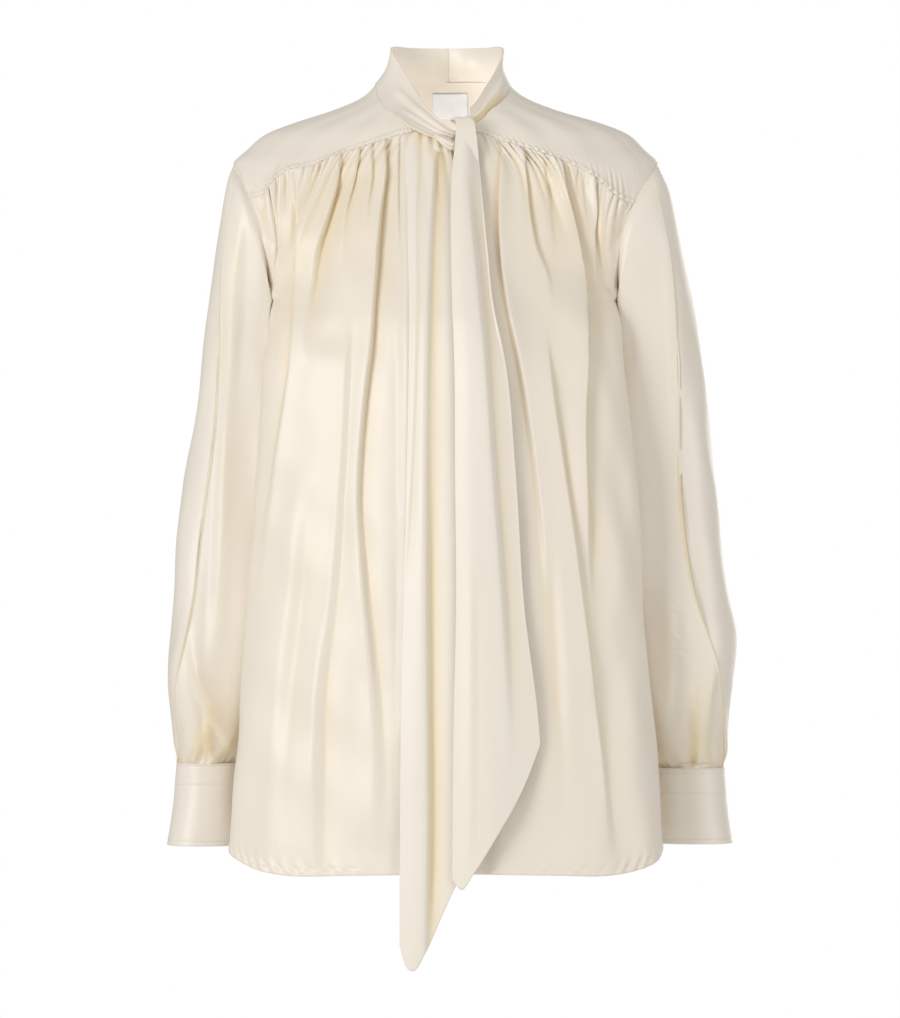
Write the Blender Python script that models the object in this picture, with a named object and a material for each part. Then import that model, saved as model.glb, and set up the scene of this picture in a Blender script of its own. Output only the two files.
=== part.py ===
"""Tie-neck blouse with a gathered front, worn by nobody and holding its shape.

Metres, +Z up. X runs to the wearer's left, the front faces -Y, and the origin is the
centre of the neck opening at the height of the shoulder line.

The body is a stack of horizontal sections. A section is followed by its turn, the
angle a: -90 degrees at centre front, 0 at the widest line and +90 at centre back.
Each cloth piece is a patch of that body, or of a sleeve or collar, between its seams,
with a wall of its own.
"""

import bmesh
import bpy
import numpy as np

WALL = 0.0020          # thickness of the cloth wall
SEAM_GAP = 0.0003      # between two pieces along a seam
SLEEVE_ROUND = 2.0     # roundness of a sleeve's section: 2 is an ellipse

# Armhole: an upright loop from the shoulder point down to the underarm.
ARMHOLE_TOP = -0.062
ARMHOLE_BOTTOM = -0.195
ARMHOLE_HALF_DEPTH = 0.056
ARMHOLE_CENTRE_Y = 0.004

SIDE_SEAM_TURN = 0.38  # radians behind the widest line, where the arm presses the side in
DENT_TURN = 0.40
DENT_SPREAD = 0.30
ARMHOLE_SPREAD = 0.50  # radians over which the armhole seam draws the body in or out
PAST_CENTRE = 2.2      # turn that is well past the centre line
SIDE_RADIUS = 0.17     # about how far the side of the body is from its middle

FRONT_COLUMNS = 24
BACK_COLUMNS = 32
COLUMNS_EACH = 3       # the outer face has this many times more columns in the gathers
ROWS_BESIDE_ARMHOLE = 7
ROWS_BELOW_ARMHOLE = 9
EVEN_ROWS_FROM = 0.5   # share of a panel's width at which its rows are evenly spaced
YOKE_ARMHOLE_STEPS = 6
YOKE_FRONT_COLUMNS = 21  # the rest of a front's top edge is neckline
YOKE_FRONT_TURN = {"right": -1.320, "left": -1.385}  # where the yoke ends on the neckline
FRONT_GATHERS = 18
BACK_GATHERS = 26

CUFF_LAP = 0.30        # radians by which the cuff's two ends overlap
CUFF_LAP_CLEAR = 0.0008
CUFF_OPENS_AT = 2.70   # angle of the cuff's lower end, from its outer side by the front
CUFF_COLUMNS = 26
COLLAR_COLUMNS = 20
KNOT_RINGS = 9
KNOT_SIDES = 12
LABEL_SIZE = (0.034, 0.024)
LABEL_CENTRE = (0.003, -0.006)
LABEL_THICK = 0.0008

IVORY = (0.80, 0.745, 0.655, 1.0)
LABEL_WHITE = (0.86, 0.86, 0.88, 1.0)


def table(names, rows):
    """Rows of a size table as one array for each named column."""
    return dict(zip(names.split(), np.array(rows, float).T))


BODY = table(
    "z      half_width front_y back_y widest_y round dent   lean", [
    (0.020,  0.059,    -0.043, 0.047, 0.000,   1.80, 0.000, -0.004),
    (0.008,  0.065,    -0.048, 0.051, 0.000,   1.75, 0.000, -0.004),
    (-0.003, 0.079,    -0.052, 0.055, 0.000,   1.62, 0.000, -0.003),
    (-0.014, 0.106,    -0.056, 0.058, 0.000,   1.62, 0.000, -0.002),
    (-0.025, 0.142,    -0.059, 0.061, 0.000,   1.70, 0.000, 0.000),
    (-0.033, 0.1636,   -0.062, 0.063, 0.000,   1.80, 0.000, 0.000),
    (-0.052, 0.188,    -0.068, 0.069, 0.000,   2.00, 0.000, -0.001),
    (-0.062, 0.199,    -0.072, 0.072, 0.000,   2.08, 0.000, -0.001),
    (-0.096, 0.202,    -0.085, 0.082, -0.004,  2.20, 0.000, -0.004),
    (-0.130, 0.187,    -0.099, 0.092, -0.010,  2.20, 0.000, -0.005),
    (-0.160, 0.168,    -0.109, 0.097, -0.020,  2.20, 0.000, -0.004),
    (-0.195, 0.165,    -0.119, 0.100, -0.038,  2.20, 0.000, -0.003),
    (-0.213, 0.1695,   -0.124, 0.102, -0.048,  2.20, 0.014, -0.002),
    (-0.240, 0.1740,   -0.129, 0.103, -0.054,  2.20, 0.026, -0.003),
    (-0.306, 0.1800,   -0.135, 0.106, -0.058,  2.20, 0.031, -0.002),
    (-0.381, 0.1855,   -0.140, 0.109, -0.060,  2.20, 0.032, -0.001),
    (-0.492, 0.1910,   -0.145, 0.114, -0.060,  2.25, 0.032, -0.002),
    (-0.567, 0.1965,   -0.148, 0.118, -0.060,  2.25, 0.033, -0.001),
    (-0.623, 0.2015,   -0.150, 0.122, -0.060,  2.30, 0.034, 0.000),
    (-0.688, 0.2050,   -0.151, 0.126, -0.060,  2.30, 0.034, 0.000),
    (-0.740, 0.2070,   -0.152, 0.128, -0.060,  2.30, 0.034, 0.000),
    (-0.830, 0.2080,   -0.152, 0.130, -0.060,  2.30, 0.034, 0.000),
])

# Distance of the armhole seam from the centre line, on its front and its back half.
ARMHOLE = table("z front back", [
    (-0.062, 0.1990, 0.1990),
    (-0.075, 0.1910, 0.1900),
    (-0.098, 0.1800, 0.1755),
    (-0.134, 0.1685, 0.1585),
    (-0.160, 0.1640, 0.1510),
    (-0.180, 0.1632, 0.1500),
    (-0.192, 0.1632, 0.1542),
    (-0.195, 0.1594, 0.1594),
])

# Neckline height by turn, on the wearer's right and left.
NECKLINE = table("turn right left", [
    (-1.571, -0.0380, -0.0370),
    (-1.345, -0.0335, -0.0281),
    (-1.130, -0.0215, -0.0170),
    (-0.880, -0.0118, -0.0085),
    (-0.750, -0.0066, -0.0045),
    (-0.600, -0.0022, -0.0003),
    (-0.300, 0.0068, 0.0070),
    (0.000, 0.0120, 0.0105),
    (0.500, 0.0140, 0.0135),
    (1.000, 0.0155, 0.0155),
    (1.571, 0.0160, 0.0160),
])

# Top edge of each front, from the armhole along the yoke seam to centre front.
TOP_EDGE = {
    "right": table("x z", [
        (0.1790, -0.0975),
        (0.1720, -0.0965),
        (0.1655, -0.0870),
        (0.1530, -0.0745),
        (0.1256, -0.0677),
        (0.1004, -0.0580),
        (0.0688, -0.0476),
        (0.0375, -0.0385),
        (0.0000, -0.0400),
    ]),
    "left": table("x z", [
        (0.1720, -0.1045),
        (0.1620, -0.0995),
        (0.1500, -0.0900),
        (0.1380, -0.0790),
        (0.1108, -0.0653),
        (0.0861, -0.0560),
        (0.0549, -0.0467),
        (0.0300, -0.0375),
        (0.0000, -0.0390),
    ]),
}
BACK_TOP = table("turn z", [(0.0, -0.100), (0.8, -0.094), (1.2, -0.089), (1.571, -0.087)])

# Height of the lower edge by turn: it rises to a curve at each side.
HEM = table("turn front back", [
    (-1.571, -0.7225, -0.7225),
    (-1.100, -0.7245, -0.7245),
    (-0.790, -0.7255, -0.7255),
    (-0.566, -0.7215, -0.7215),
    (-0.300, -0.7125, -0.7125),
    (0.000, -0.7010, -0.7010),
    (0.380, -0.6860, -0.6860),
    (0.700, -0.6980, -0.6980),
    (1.000, -0.7160, -0.7160),
    (1.300, -0.7240, -0.7240),
    (1.571, -0.7250, -0.7250),
])

# Where the right front ends over the left one, and where the left one ends beneath.
LAP = table("z over under", [
    (-0.030, 0.010, -0.012),
    (-0.400, 0.018, -0.012),
    (-0.830, 0.030, -0.012),
])

LAST_SHARE = 0.93         # from here a front's top edge bends to its lapped edge
TOP_EDGE_REACH = 0.16     # the top edge's slant is felt this far down a front
LAP_CLEAR = 0.0010        # between the two fronts where they lap
LAP_EASES_OVER = 0.020    # the under front drops behind the other one over this width

# Soft folds: place across at three or four heights, depth at its deepest, half width.
FRONT_FOLDS = {
    "right": [
        (0.0062, 0.013, [(-0.110, 0.1394), (-0.243, 0.1480), (-0.353, 0.1640), (-0.463, 0.1780)]),
        (0.0052, 0.012, [(-0.073, 0.0990), (-0.142, 0.1180), (-0.225, 0.1310)]),
        (0.0032, 0.010, [(-0.069, 0.0816), (-0.105, 0.0908), (-0.150, 0.0950)]),
        (0.0075, 0.013, [(-0.055, 0.0560), (-0.142, 0.0614), (-0.289, 0.0760), (-0.381, 0.0816),
                         (-0.491, 0.0724), (-0.628, 0.0633)]),
        (0.0045, 0.016, [(-0.300, 0.1180), (-0.450, 0.1260), (-0.640, 0.1180)]),
        (0.0040, 0.014, [(-0.420, 0.1500), (-0.560, 0.1560), (-0.700, 0.1600)]),
    ],
    "left": [
        (0.0050, 0.012, [(-0.055, 0.0514), (-0.142, 0.0478), (-0.234, 0.0579), (-0.344, 0.0780),
                         (-0.472, 0.0900)]),
        (0.0040, 0.011, [(-0.061, 0.0707), (-0.133, 0.0790), (-0.174, 0.0927)]),
        (0.0075, 0.013, [(-0.073, 0.1065), (-0.156, 0.1276), (-0.216, 0.1320), (-0.289, 0.1294),
                         (-0.436, 0.1350)]),
        (0.0036, 0.010, [(-0.087, 0.1368), (-0.142, 0.1410), (-0.179, 0.1460)]),
        (0.0062, 0.013, [(-0.252, 0.0973), (-0.381, 0.1129), (-0.509, 0.1310), (-0.656, 0.1496)]),
        (0.0040, 0.016, [(-0.500, 0.1000), (-0.600, 0.1040), (-0.700, 0.1080)]),
    ],
}
BACK_FOLDS = [
    (0.0060, 0.011, [(-0.100, -0.030), (-0.250, -0.040), (-0.480, -0.046)]),
    (0.0070, 0.012, [(-0.100, 0.034), (-0.260, 0.050), (-0.560, 0.058)]),
    (0.0065, 0.011, [(-0.100, -0.085), (-0.270, -0.098), (-0.520, -0.108)]),
    (0.0055, 0.010, [(-0.100, 0.092), (-0.240, 0.104), (-0.420, 0.112)]),
    (0.0050, 0.016, [(-0.330, 0.006), (-0.520, 0.010), (-0.700, 0.012)]),
    (0.0045, 0.015, [(-0.420, -0.075), (-0.560, -0.080), (-0.700, -0.084)]),
]
FLAT_AT_SIDE = 0.07    # folds die away towards the seams at a panel's side
# A front lies flat where a tie end hangs on it, this far from the centre line.
FLAT_UNDER_TIE = {"right": 0.040, "left": 0.026}
FOLD_FADE = 0.045      # a fold grows and dies away over this height
GATHER_RISE = 0.0007   # height of the gathers below a yoke seam
GATHER_DROP = 0.045    # they die away this far below it

SLEEVE_LONGER = {"right": 0.0, "left": 0.0045}
SLEEVE_RINGS_AT_CAP = 4  # rings of the table over which a sleeve leaves the armhole
SLEEVE_RINGS_BELOW = 12

# Sleeve rings, from the armhole to the cuff. Each lies in the plane through its outer
# and its inner point, and reaches half_depth to the front and back of centre_y.
SLEEVE = table(
    "outer_right outer_left outer_z inner_x inner_z centre_y half_depth", [
    (0.1990, 0.1990, -0.0620, 0.1600, -0.1950, 0.004, 0.0560),
    (0.2030, 0.2030, -0.0740, 0.1665, -0.1955, 0.004, 0.0566),
    (0.2075, 0.2090, -0.0900, 0.1710, -0.2005, 0.006, 0.0572),
    (0.2130, 0.2155, -0.1170, 0.1710, -0.2120, 0.010, 0.0575),
    (0.2185, 0.2225, -0.1500, 0.1680, -0.2290, 0.014, 0.0575),
    (0.2235, 0.2305, -0.1950, 0.1635, -0.2510, 0.018, 0.0572),
    (0.2305, 0.2385, -0.2470, 0.1570, -0.2800, 0.021, 0.0570),
    (0.2380, 0.2460, -0.3050, 0.1555, -0.3220, 0.024, 0.0560),
    (0.2455, 0.2520, -0.3600, 0.1570, -0.3680, 0.025, 0.0560),
    (0.2525, 0.2570, -0.4120, 0.1605, -0.4160, 0.025, 0.0565),
    (0.2572, 0.2640, -0.4630, 0.1650, -0.4640, 0.024, 0.0570),
    (0.2595, 0.2700, -0.5020, 0.1700, -0.5020, 0.022, 0.0575),
    (0.2635, 0.2690, -0.5400, 0.1760, -0.5400, 0.019, 0.0560),
    (0.2610, 0.2655, -0.5770, 0.1830, -0.5770, 0.016, 0.0520),
    (0.2560, 0.2625, -0.6100, 0.1920, -0.6100, 0.013, 0.0455),
    (0.2522, 0.2590, -0.6280, 0.1990, -0.6280, 0.011, 0.0395),
])
CUFF = table(
    "outer_right outer_left inner_x z_right z_left centre_y half_depth", [
    (0.2520, 0.2588, 0.1992, -0.6283, -0.6328, 0.011, 0.0393),
    (0.2556, 0.2622, 0.1988, -0.6530, -0.6560, 0.011, 0.0412),
    (0.2632, 0.2686, 0.1982, -0.7035, -0.7015, 0.011, 0.0450),
])

# Collar halves, from centre back (0) round the neck to the knot (1): the seam to the
# neckline is read from the body by its turn, and the upper edge stands at top_x,y,z.
COLLAR = {
    "right": table("part turn top_x top_y top_z", [
        (0.00, 1.571, 0.0017, 0.0440, 0.0478),
        (0.22, 0.900, -0.0330, 0.0355, 0.0478),
        (0.38, 0.250, -0.0500, 0.0130, 0.0474),
        (0.50, -0.300, -0.0520, -0.0040, 0.0430),
        (0.66, -0.800, -0.0400, -0.0220, 0.0220),
        (0.82, -1.160, -0.0255, -0.0420, -0.0020),
        (0.90, -1.330, -0.0185, -0.0530, -0.0120),
        (0.95, -1.380, -0.0100, -0.0625, -0.0220),
        (1.00, -1.420, 0.0005, -0.0705, -0.0318),
    ]),
    "left": table("part turn top_x top_y top_z", [
        (0.00, 1.571, 0.0017, 0.0440, 0.0478),
        (0.22, 0.900, 0.0350, 0.0355, 0.0478),
        (0.38, 0.250, 0.0500, 0.0130, 0.0474),
        (0.50, -0.300, 0.0530, -0.0030, 0.0425),
        (0.66, -0.800, 0.0460, -0.0200, 0.0240),
        (0.82, -1.120, 0.0350, -0.0370, 0.0055),
        (0.92, -1.280, 0.0275, -0.0470, -0.0070),
        (1.00, -1.370, 0.0220, -0.0540, -0.0140),
    ]),
}
# Past the neck slit the right half's lower edge hangs free, down to the knot.
COLLAR_FREE = table("part x y z", [
    (0.80, -0.0500, -0.0590, -0.0200),
    (0.85, -0.0437, -0.0612, -0.0244),
    (0.90, -0.0350, -0.0660, -0.0330),
    (0.95, -0.0255, -0.0705, -0.0402),
    (1.00, -0.0092, -0.0745, -0.0457),
])
CENTRE_BACK_X = 0.0017
COLLAR_BULGE = 0.0035  # the band rounds outwards between its edges

# The roll of cloth where the ends cross: centre line, height and thickness.
KNOT = table("x y z height thick", [
    (-0.0030, -0.0745, -0.0402, 0.0155, 0.0046),
    (0.0000, -0.0757, -0.0416, 0.0165, 0.0056),
    (0.0030, -0.0763, -0.0428, 0.0178, 0.0062),
    (0.0060, -0.0765, -0.0436, 0.0185, 0.0060),
    (0.0092, -0.0762, -0.0442, 0.0190, 0.0048),
])

# Tie ends: side edges by height, and the slanting lower edge by share of the width.
TIE_SIDES = {
    "right": table("z near far", [
        (-0.0360, -0.0340, -0.0020),
        (-0.0460, -0.0370, 0.0010),
        (-0.1040, -0.0369, 0.0120),
        (-0.2000, -0.0350, 0.0180),
        (-0.3800, -0.0375, 0.0260),
        (-0.5640, -0.0421, 0.0300),
        (-0.8300, -0.0435, 0.0310),
    ]),
    "left": table("z near far", [
        (-0.0200, 0.0080, 0.0245),
        (-0.0460, 0.0075, 0.0279),
        (-0.0770, 0.0047, 0.0306),
        (-0.1510, 0.0037, 0.0377),
        (-0.1970, 0.0047, 0.0423),
        (-0.2500, 0.0066, 0.0532),
        (-0.3550, 0.0074, 0.0632),
        (-0.4720, 0.0083, 0.0705),
        (-0.5960, 0.0058, 0.0851),
        (-0.7400, 0.0046, 0.0860),
    ]),
}
TIE_UPPER = {
    "right": table("share z", [(0.0, -0.0450), (0.15, -0.0425), (0.45, -0.0425), (1.0, -0.0470)]),
    "left": table("share z", [(0.0, -0.0400), (1.0, -0.0400)]),
}
TIE_LOWER = {
    "right": table("share z", [
        (0.00, -0.7950),
        (0.17, -0.8110),
        (0.33, -0.7930),
        (0.55, -0.7560),
        (0.70, -0.7320),
        (1.00, -0.6830),
    ]),
    "left": table("share z", [
        (0.00, -0.7270),
        (0.10, -0.7365),
        (0.25, -0.7210),
        (0.50, -0.6880),
        (0.80, -0.6430),
        (1.00, -0.6040),
    ]),
}
# How far each tie end stands off the front, by share of its width, and how much of
# that is there at the knot, where the ends are pinched together.
TIE_STAND_OFF = {
    "right": table("share off", [(0.0, 0.0010), (0.2, 0.0046), (0.45, 0.0026), (0.7, 0.0030), (1.0, 0.0006)]),
    "left": table("share off", [(0.0, 0.0068), (0.3, 0.0110), (0.6, 0.0100), (0.85, 0.0050), (1.0, 0.0020)]),
}
TIE_CLEAR = 0.0012
TIE_PINCHED = {"right": 0.35, "left": 1.0}
# Furthest back that the front counts and that the tie lies, near the knot.
TIE_TOP_Y = {"right": (-0.0620, -0.0620), "left": (-0.0620, -0.0820)}
# The left end starts behind the knot, turns over it and falls in front.
TIE_TURNOVER = table("y z", [
    (-0.0680, -0.0370),
    (-0.0675, -0.0290),
    (-0.0715, -0.0240),
    (-0.0765, -0.0262),
    (-0.0800, -0.0335),
])


def follow(columns, key, name, at):
    """Column `name` at `at`, along smooth (Hermite) curves through the table's rows."""
    keys, values = columns[key], columns[name]
    if keys[0] > keys[-1]:
        keys, values = keys[::-1], values[::-1]
    slopes = np.gradient(values, keys)
    at = np.clip(at, keys[0], keys[-1])
    i = np.clip(np.searchsorted(keys, at, side="right") - 1, 0, len(keys) - 2)
    span = keys[i + 1] - keys[i]
    t = (at - keys[i]) / span
    return (
        values[i] * (1 + 2 * t) * (1 - t) ** 2
        + values[i + 1] * (3 - 2 * t) * t**2
        + span * (slopes[i] * t * (1 - t) ** 2 - slopes[i + 1] * (1 - t) * t**2)
    )


def ease(x):
    """Rises smoothly from 0 at x = 0 to 1 at x = 1."""
    x = np.clip(x, 0, 1)
    return x * x * (3 - 2 * x)


def signed_power(x, p):
    return np.sign(x) * np.abs(x) ** p


# ---------------------------------------------------------------- body surface


ARMHOLE_MIDDLE = (ARMHOLE_TOP + ARMHOLE_BOTTOM) / 2
ARMHOLE_HALF_HEIGHT = (ARMHOLE_TOP - ARMHOLE_BOTTOM) / 2


def armhole_angle(z):
    """Angle round the armhole at height z, 0 at the shoulder point and pi beneath."""
    return np.arccos(np.clip((z - ARMHOLE_MIDDLE) / ARMHOLE_HALF_HEIGHT, -1, 1))


def armhole_x(z, back):
    """Distance of the armhole seam from the centre line at height z."""
    return np.where(back, follow(ARMHOLE, "z", "back", z), follow(ARMHOLE, "z", "front", z))


def armhole_y(z, back):
    """Y of the armhole seam at height z, on its front or its back side."""
    reach = ARMHOLE_HALF_DEPTH * np.sin(armhole_angle(z))
    return ARMHOLE_CENTRE_Y + np.where(back, reach, -reach)


def depth_of_half(z, behind):
    """How far the section at height z reaches behind or in front of its widest line."""
    widest = follow(BODY, "z", "widest_y", z)
    return np.where(behind, follow(BODY, "z", "back_y", z) - widest, widest - follow(BODY, "z", "front_y", z))


def turn_for_y(y, z):
    """Turn at which the section at height z has this y."""
    rest = y - follow(BODY, "z", "widest_y", z)
    share = np.clip(rest / depth_of_half(z, rest > 0), -0.999, 0.999)
    return np.arcsin(signed_power(share, follow(BODY, "z", "round", z) / 2))


def armhole_turn(z, back):
    """Turn at which the armhole seam crosses the section at height z."""
    return turn_for_y(armhole_y(z, back), z)


def section_x(turn, z, back):
    """Distance of the section at height z from its centre line, at a turn. Beside the
    armhole it is drawn in or out to pass through the seam, and below it the arm
    presses a dent into the side."""
    c, s = np.cos(turn), np.sin(turn)
    power = 2 / follow(BODY, "z", "round", z)
    half_width = follow(BODY, "z", "half_width", z)
    seam = armhole_turn(np.clip(z, ARMHOLE_BOTTOM, ARMHOLE_TOP), back)
    short = armhole_x(z, back) - half_width * np.cos(seam) ** power
    beside = (z < ARMHOLE_TOP) & (z > ARMHOLE_BOTTOM)
    near = np.exp(-(((np.arcsin(s) - seam) / ARMHOLE_SPREAD) ** 2)) * c / np.cos(seam)
    dent = follow(BODY, "z", "dent", z) * np.exp(-(((np.arcsin(s) - DENT_TURN) / DENT_SPREAD) ** 2))
    return half_width * signed_power(c, power) + short * near * beside - dent * c


def body(turn, z, side, back=False):
    """Point of the body at a turn and height, on side -1 (wearer's right) or +1."""
    turn, z = np.broadcast_arrays(np.asarray(turn, float), np.asarray(z, float))
    s = np.sin(turn)
    x = section_x(turn, z, back)
    y = follow(BODY, "z", "widest_y", z) + depth_of_half(z, s > 0) * signed_power(
        s, 2 / follow(BODY, "z", "round", z)
    )
    return np.stack([follow(BODY, "z", "lean", z) + side * x, y, z], axis=-1)


def body_normal(turn, z, side, back=False):
    """Outward normal of the body surface, by small steps along and down it. Round the
    underarm, where the sections change fast, the wall is taken as upright."""
    d_turn, d_z = 0.004, 0.0015
    across = body(turn + d_turn, z, side, back) - body(turn - d_turn, z, side, back)
    up = body(turn, z + d_z, side, back) - body(turn, z - d_z, side, back)
    normal = side * np.cross(across, up)
    from_underarm = np.abs(z - ARMHOLE_BOTTOM)
    normal[..., 2] *= ease((from_underarm - 0.015) / 0.025)
    return normal / np.linalg.norm(normal, axis=-1, keepdims=True)


def turn_at(x, z, back=False):
    """Turn, on the front or back half, at which the section at height z is x from its
    centre line, found by halving."""
    sign = 1 if back else -1
    x, z = np.broadcast_arrays(np.asarray(x, float), np.asarray(z, float))
    inner, outer = np.full(x.shape, PAST_CENTRE), np.zeros(x.shape)
    for _ in range(30):
        middle = (inner + outer) / 2
        short = section_x(sign * middle, z, back) < x
        inner, outer = np.where(short, middle, inner), np.where(short, outer, middle)
    return sign * (inner + outer) / 2


def side_turn(z, back):
    """Turn of a panel's side edge: the armhole seam, and below it the side seam."""
    beside = armhole_turn(np.maximum(z, ARMHOLE_BOTTOM), back)
    low = armhole_turn(np.float64(ARMHOLE_BOTTOM), back)
    below = low + (SIDE_SEAM_TURN - low) * ease((ARMHOLE_BOTTOM - z) / 0.05)
    return np.where(z > ARMHOLE_BOTTOM, beside, below)


def folds(table_rows, x, z):
    """Height of the soft folds at x, z: a trough along each path, with a lower ridge
    on both sides of it, fading in and out at its ends."""
    height = np.zeros(np.broadcast(x, z).shape)
    for depth, width, path in table_rows:
        path = table("z x", path)
        off = (x - follow(path, "z", "x", z)) / width
        fade = ease((path["z"][0] - z) / FOLD_FADE + 0.2) * ease((z - path["z"][-1]) / FOLD_FADE + 1)
        wave = -np.exp(-(off**2)) + 0.45 * (np.exp(-((off - 1.9) ** 2)) + np.exp(-((off + 1.9) ** 2)))
        height += depth * fade * wave
    return height


# ---------------------------------------------------------------- meshes


def new_object(name, points, faces, material):
    """A mesh object in the blouse's collection, its faces turned outwards."""
    mesh = bpy.data.meshes.new(name)
    mesh.from_pydata([tuple(p) for p in points], [], faces)
    work = bmesh.new()
    work.from_mesh(mesh)
    bmesh.ops.recalc_face_normals(work, faces=work.faces)
    work.to_mesh(mesh)
    work.free()
    mesh.shade_smooth()
    mesh.set_sharp_from_angle(angle=np.radians(50))
    mesh.materials.append(material)
    thing = bpy.data.objects.new(name, mesh)
    bpy.data.collections["blouse"].objects.link(thing)
    return thing


def strip(first, second):
    """Faces between two rows of point numbers, the longer a whole multiple of the
    shorter less one: fans where the counts differ, four-sided faces where they match."""
    few, many = (first, second) if len(first) <= len(second) else (second, first)
    step = (len(many) - 1) // (len(few) - 1)
    faces = []
    for i in range(len(few) - 1):
        run = many[i * step:(i + 1) * step + 1]
        if step == 1:
            faces.append((few[i], few[i + 1], run[1], run[0]))
            continue
        middle = step // 2
        faces += [(few[i], run[j + 1], run[j]) for j in range(middle)]
        faces.append((few[i], few[i + 1], run[middle]))
        faces += [(few[i + 1], run[j + 1], run[j]) for j in range(middle, step)]
    return faces


def walled(name, outer, inner, material, ring=False):
    """A cloth wall between an outer and an inner list of rows. The two lists have as
    many rows; a row may have more points than the one below it. A ring closes on itself."""
    rows, start, points = [], 0, []
    for row in outer + inner:
        rows.append(list(range(start, start + len(row))) + ([start] if ring else []))
        start += len(row)
        points.append(row)
    count = len(outer)
    skins = rows[:count], rows[count:]
    faces = []
    for skin in skins:
        for upper, lower in zip(skin, skin[1:]):
            faces += strip(upper, lower)
    faces += strip(skins[0][0], skins[1][0]) + strip(skins[0][-1], skins[1][-1])
    if not ring:
        for end in (0, -1):
            faces += strip([row[end] for row in skins[0]], [row[end] for row in skins[1]])
    return new_object(name, np.concatenate(points), faces, material)


def grid_normals(grid, ring=False):
    """Normals of a grid of points (rows, columns, 3), from its neighbours."""
    down = np.gradient(grid, axis=0)
    if ring:
        across = (np.roll(grid, -1, axis=1) - np.roll(grid, 1, axis=1)) / 2
    else:
        across = np.gradient(grid, axis=1)
    normal = np.cross(down, across)
    return normal / np.linalg.norm(normal, axis=-1, keepdims=True)


# ---------------------------------------------------------------- panels


PANEL_LEVELS = np.concatenate([
    np.linspace(0, 1, ROWS_BESIDE_ARMHOLE + 1),
    1 + np.linspace(0, 1, ROWS_BELOW_ARMHOLE + 1)[1:],
])


def panel_heights(level, top, hem, side_top, from_side):
    """Height at each level: 0 is the top edge, 1 the underarm and 2 the hem. At the
    side the rows above the underarm meet the armhole seam at even steps of its angle,
    and further in they are spaced evenly."""
    first = armhole_angle(side_top)
    upper = np.minimum(level, 1)
    down = (np.cos(first) - np.cos(first + (np.pi - first) * upper)) / (np.cos(first) + 1)
    down = down + (upper - down) * ease(from_side / EVEN_ROWS_FROM)
    above = top + (ARMHOLE_BOTTOM - top) * down
    return np.where(level < 1, above, ARMHOLE_BOTTOM + (hem - ARMHOLE_BOTTOM) * (level - 1))


def between(values, times):
    """The values with `times` - 1 more, evenly spaced, between each two of them."""
    at = np.arange((len(values) - 1) * times + 1) / times
    return np.interp(at, np.arange(len(values)), values)


def along(columns, share):
    """x and z at shares of the length of a table's x, z path."""
    steps = np.hypot(np.diff(columns["x"]), np.diff(columns["z"]))
    path = dict(columns, length=np.concatenate([[0], np.cumsum(steps) / steps.sum()]))
    return follow(path, "length", "x", share), follow(path, "length", "z", share)


def front_edge(name, share):
    """Turn and height of a front's top edge at shares from the armhole to centre front."""
    side = {"right": -1, "left": 1}[name]
    x, z = along(TOP_EDGE[name], share)
    turn = turn_at(np.abs(x) - side * follow(BODY, "z", "lean", z), z)
    at_arm = armhole_turn(z[..., :1], False)
    blend = ease(share / 0.06)
    return at_arm + (turn - at_arm) * blend, z


def front_place(name, share, level):
    """Turn and height at shares across (0 side, 1 centre front) and down a front."""
    side = {"right": -1, "left": 1}[name]
    top_turn, top_z = front_edge(name, share[:1])
    hem_z = follow(HEM, "turn", "front", SIDE_SEAM_TURN + (-np.pi / 2 - SIDE_SEAM_TURN) * share)
    z = panel_heights(level, top_z, hem_z, top_z[0, 0], share)
    lap = follow(LAP, "z", "over" if side < 0 else "under", z) * (1 if side < 0 else -1)
    last = turn_at(-lap - side * follow(BODY, "z", "lean", z), z)
    first = side_turn(z[:, :1], False)
    turn = first + (last - first) * share
    top_first = side_turn(top_z[:, :1], False)
    top_last = turn_at(-lap[:1] - side * follow(BODY, "z", "lean", top_z), top_z)
    shift = top_turn - (top_first + (top_last - top_first) * share[:1])
    shift = shift + (top_last - top_turn) * ease((share[:1] - LAST_SHARE) / (1 - LAST_SHARE))
    return turn + shift * (1 - ease((top_z - z) / TOP_EDGE_REACH)), z


def front(name, material):
    """One front panel: gathered into the yoke, with its folds, its side under the arm
    and its inner edge lapped at centre front."""
    side = {"right": -1, "left": 1}[name]

    def skin(offset, fine_rows):
        rows = []
        for i, level in enumerate(PANEL_LEVELS):
            times = COLUMNS_EACH if i < fine_rows else 1
            share = np.linspace(0, 1, FRONT_COLUMNS + 1)
            turn, z = front_place(name, share[None], level)
            share, turn, z = between(share, times), between(turn[0], times), between(z[0], times)
            turn = turn - SEAM_GAP / 2 / SIDE_RADIUS * (1 - share) ** 8
            place = body(turn, z, side)
            across = side * place[..., 0]
            height = folds(FRONT_FOLDS[name], across, z) * ease((across - FLAT_UNDER_TIE[name]) / 0.012)
            height = height * ease(share / FLAT_AT_SIDE)
            if side > 0:
                from_lap = across - follow(LAP, "z", "over", z)
                height = height - (WALL + LAP_CLEAR) * (1 - ease((from_lap - 0.004) / LAP_EASES_OVER))
            if fine_rows:
                drop = (front_edge(name, share[None])[1][0] - z) / GATHER_DROP
                height = height + GATHER_RISE * np.sin(2 * np.pi * FRONT_GATHERS * share) * (1 - ease(drop))
            rows.append(place + body_normal(turn, z, side) * (height + offset)[..., None])
        return rows

    return walled(f"front_{name}", skin(WALL / 2, 4), skin(-WALL / 2, 0), material)


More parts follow.
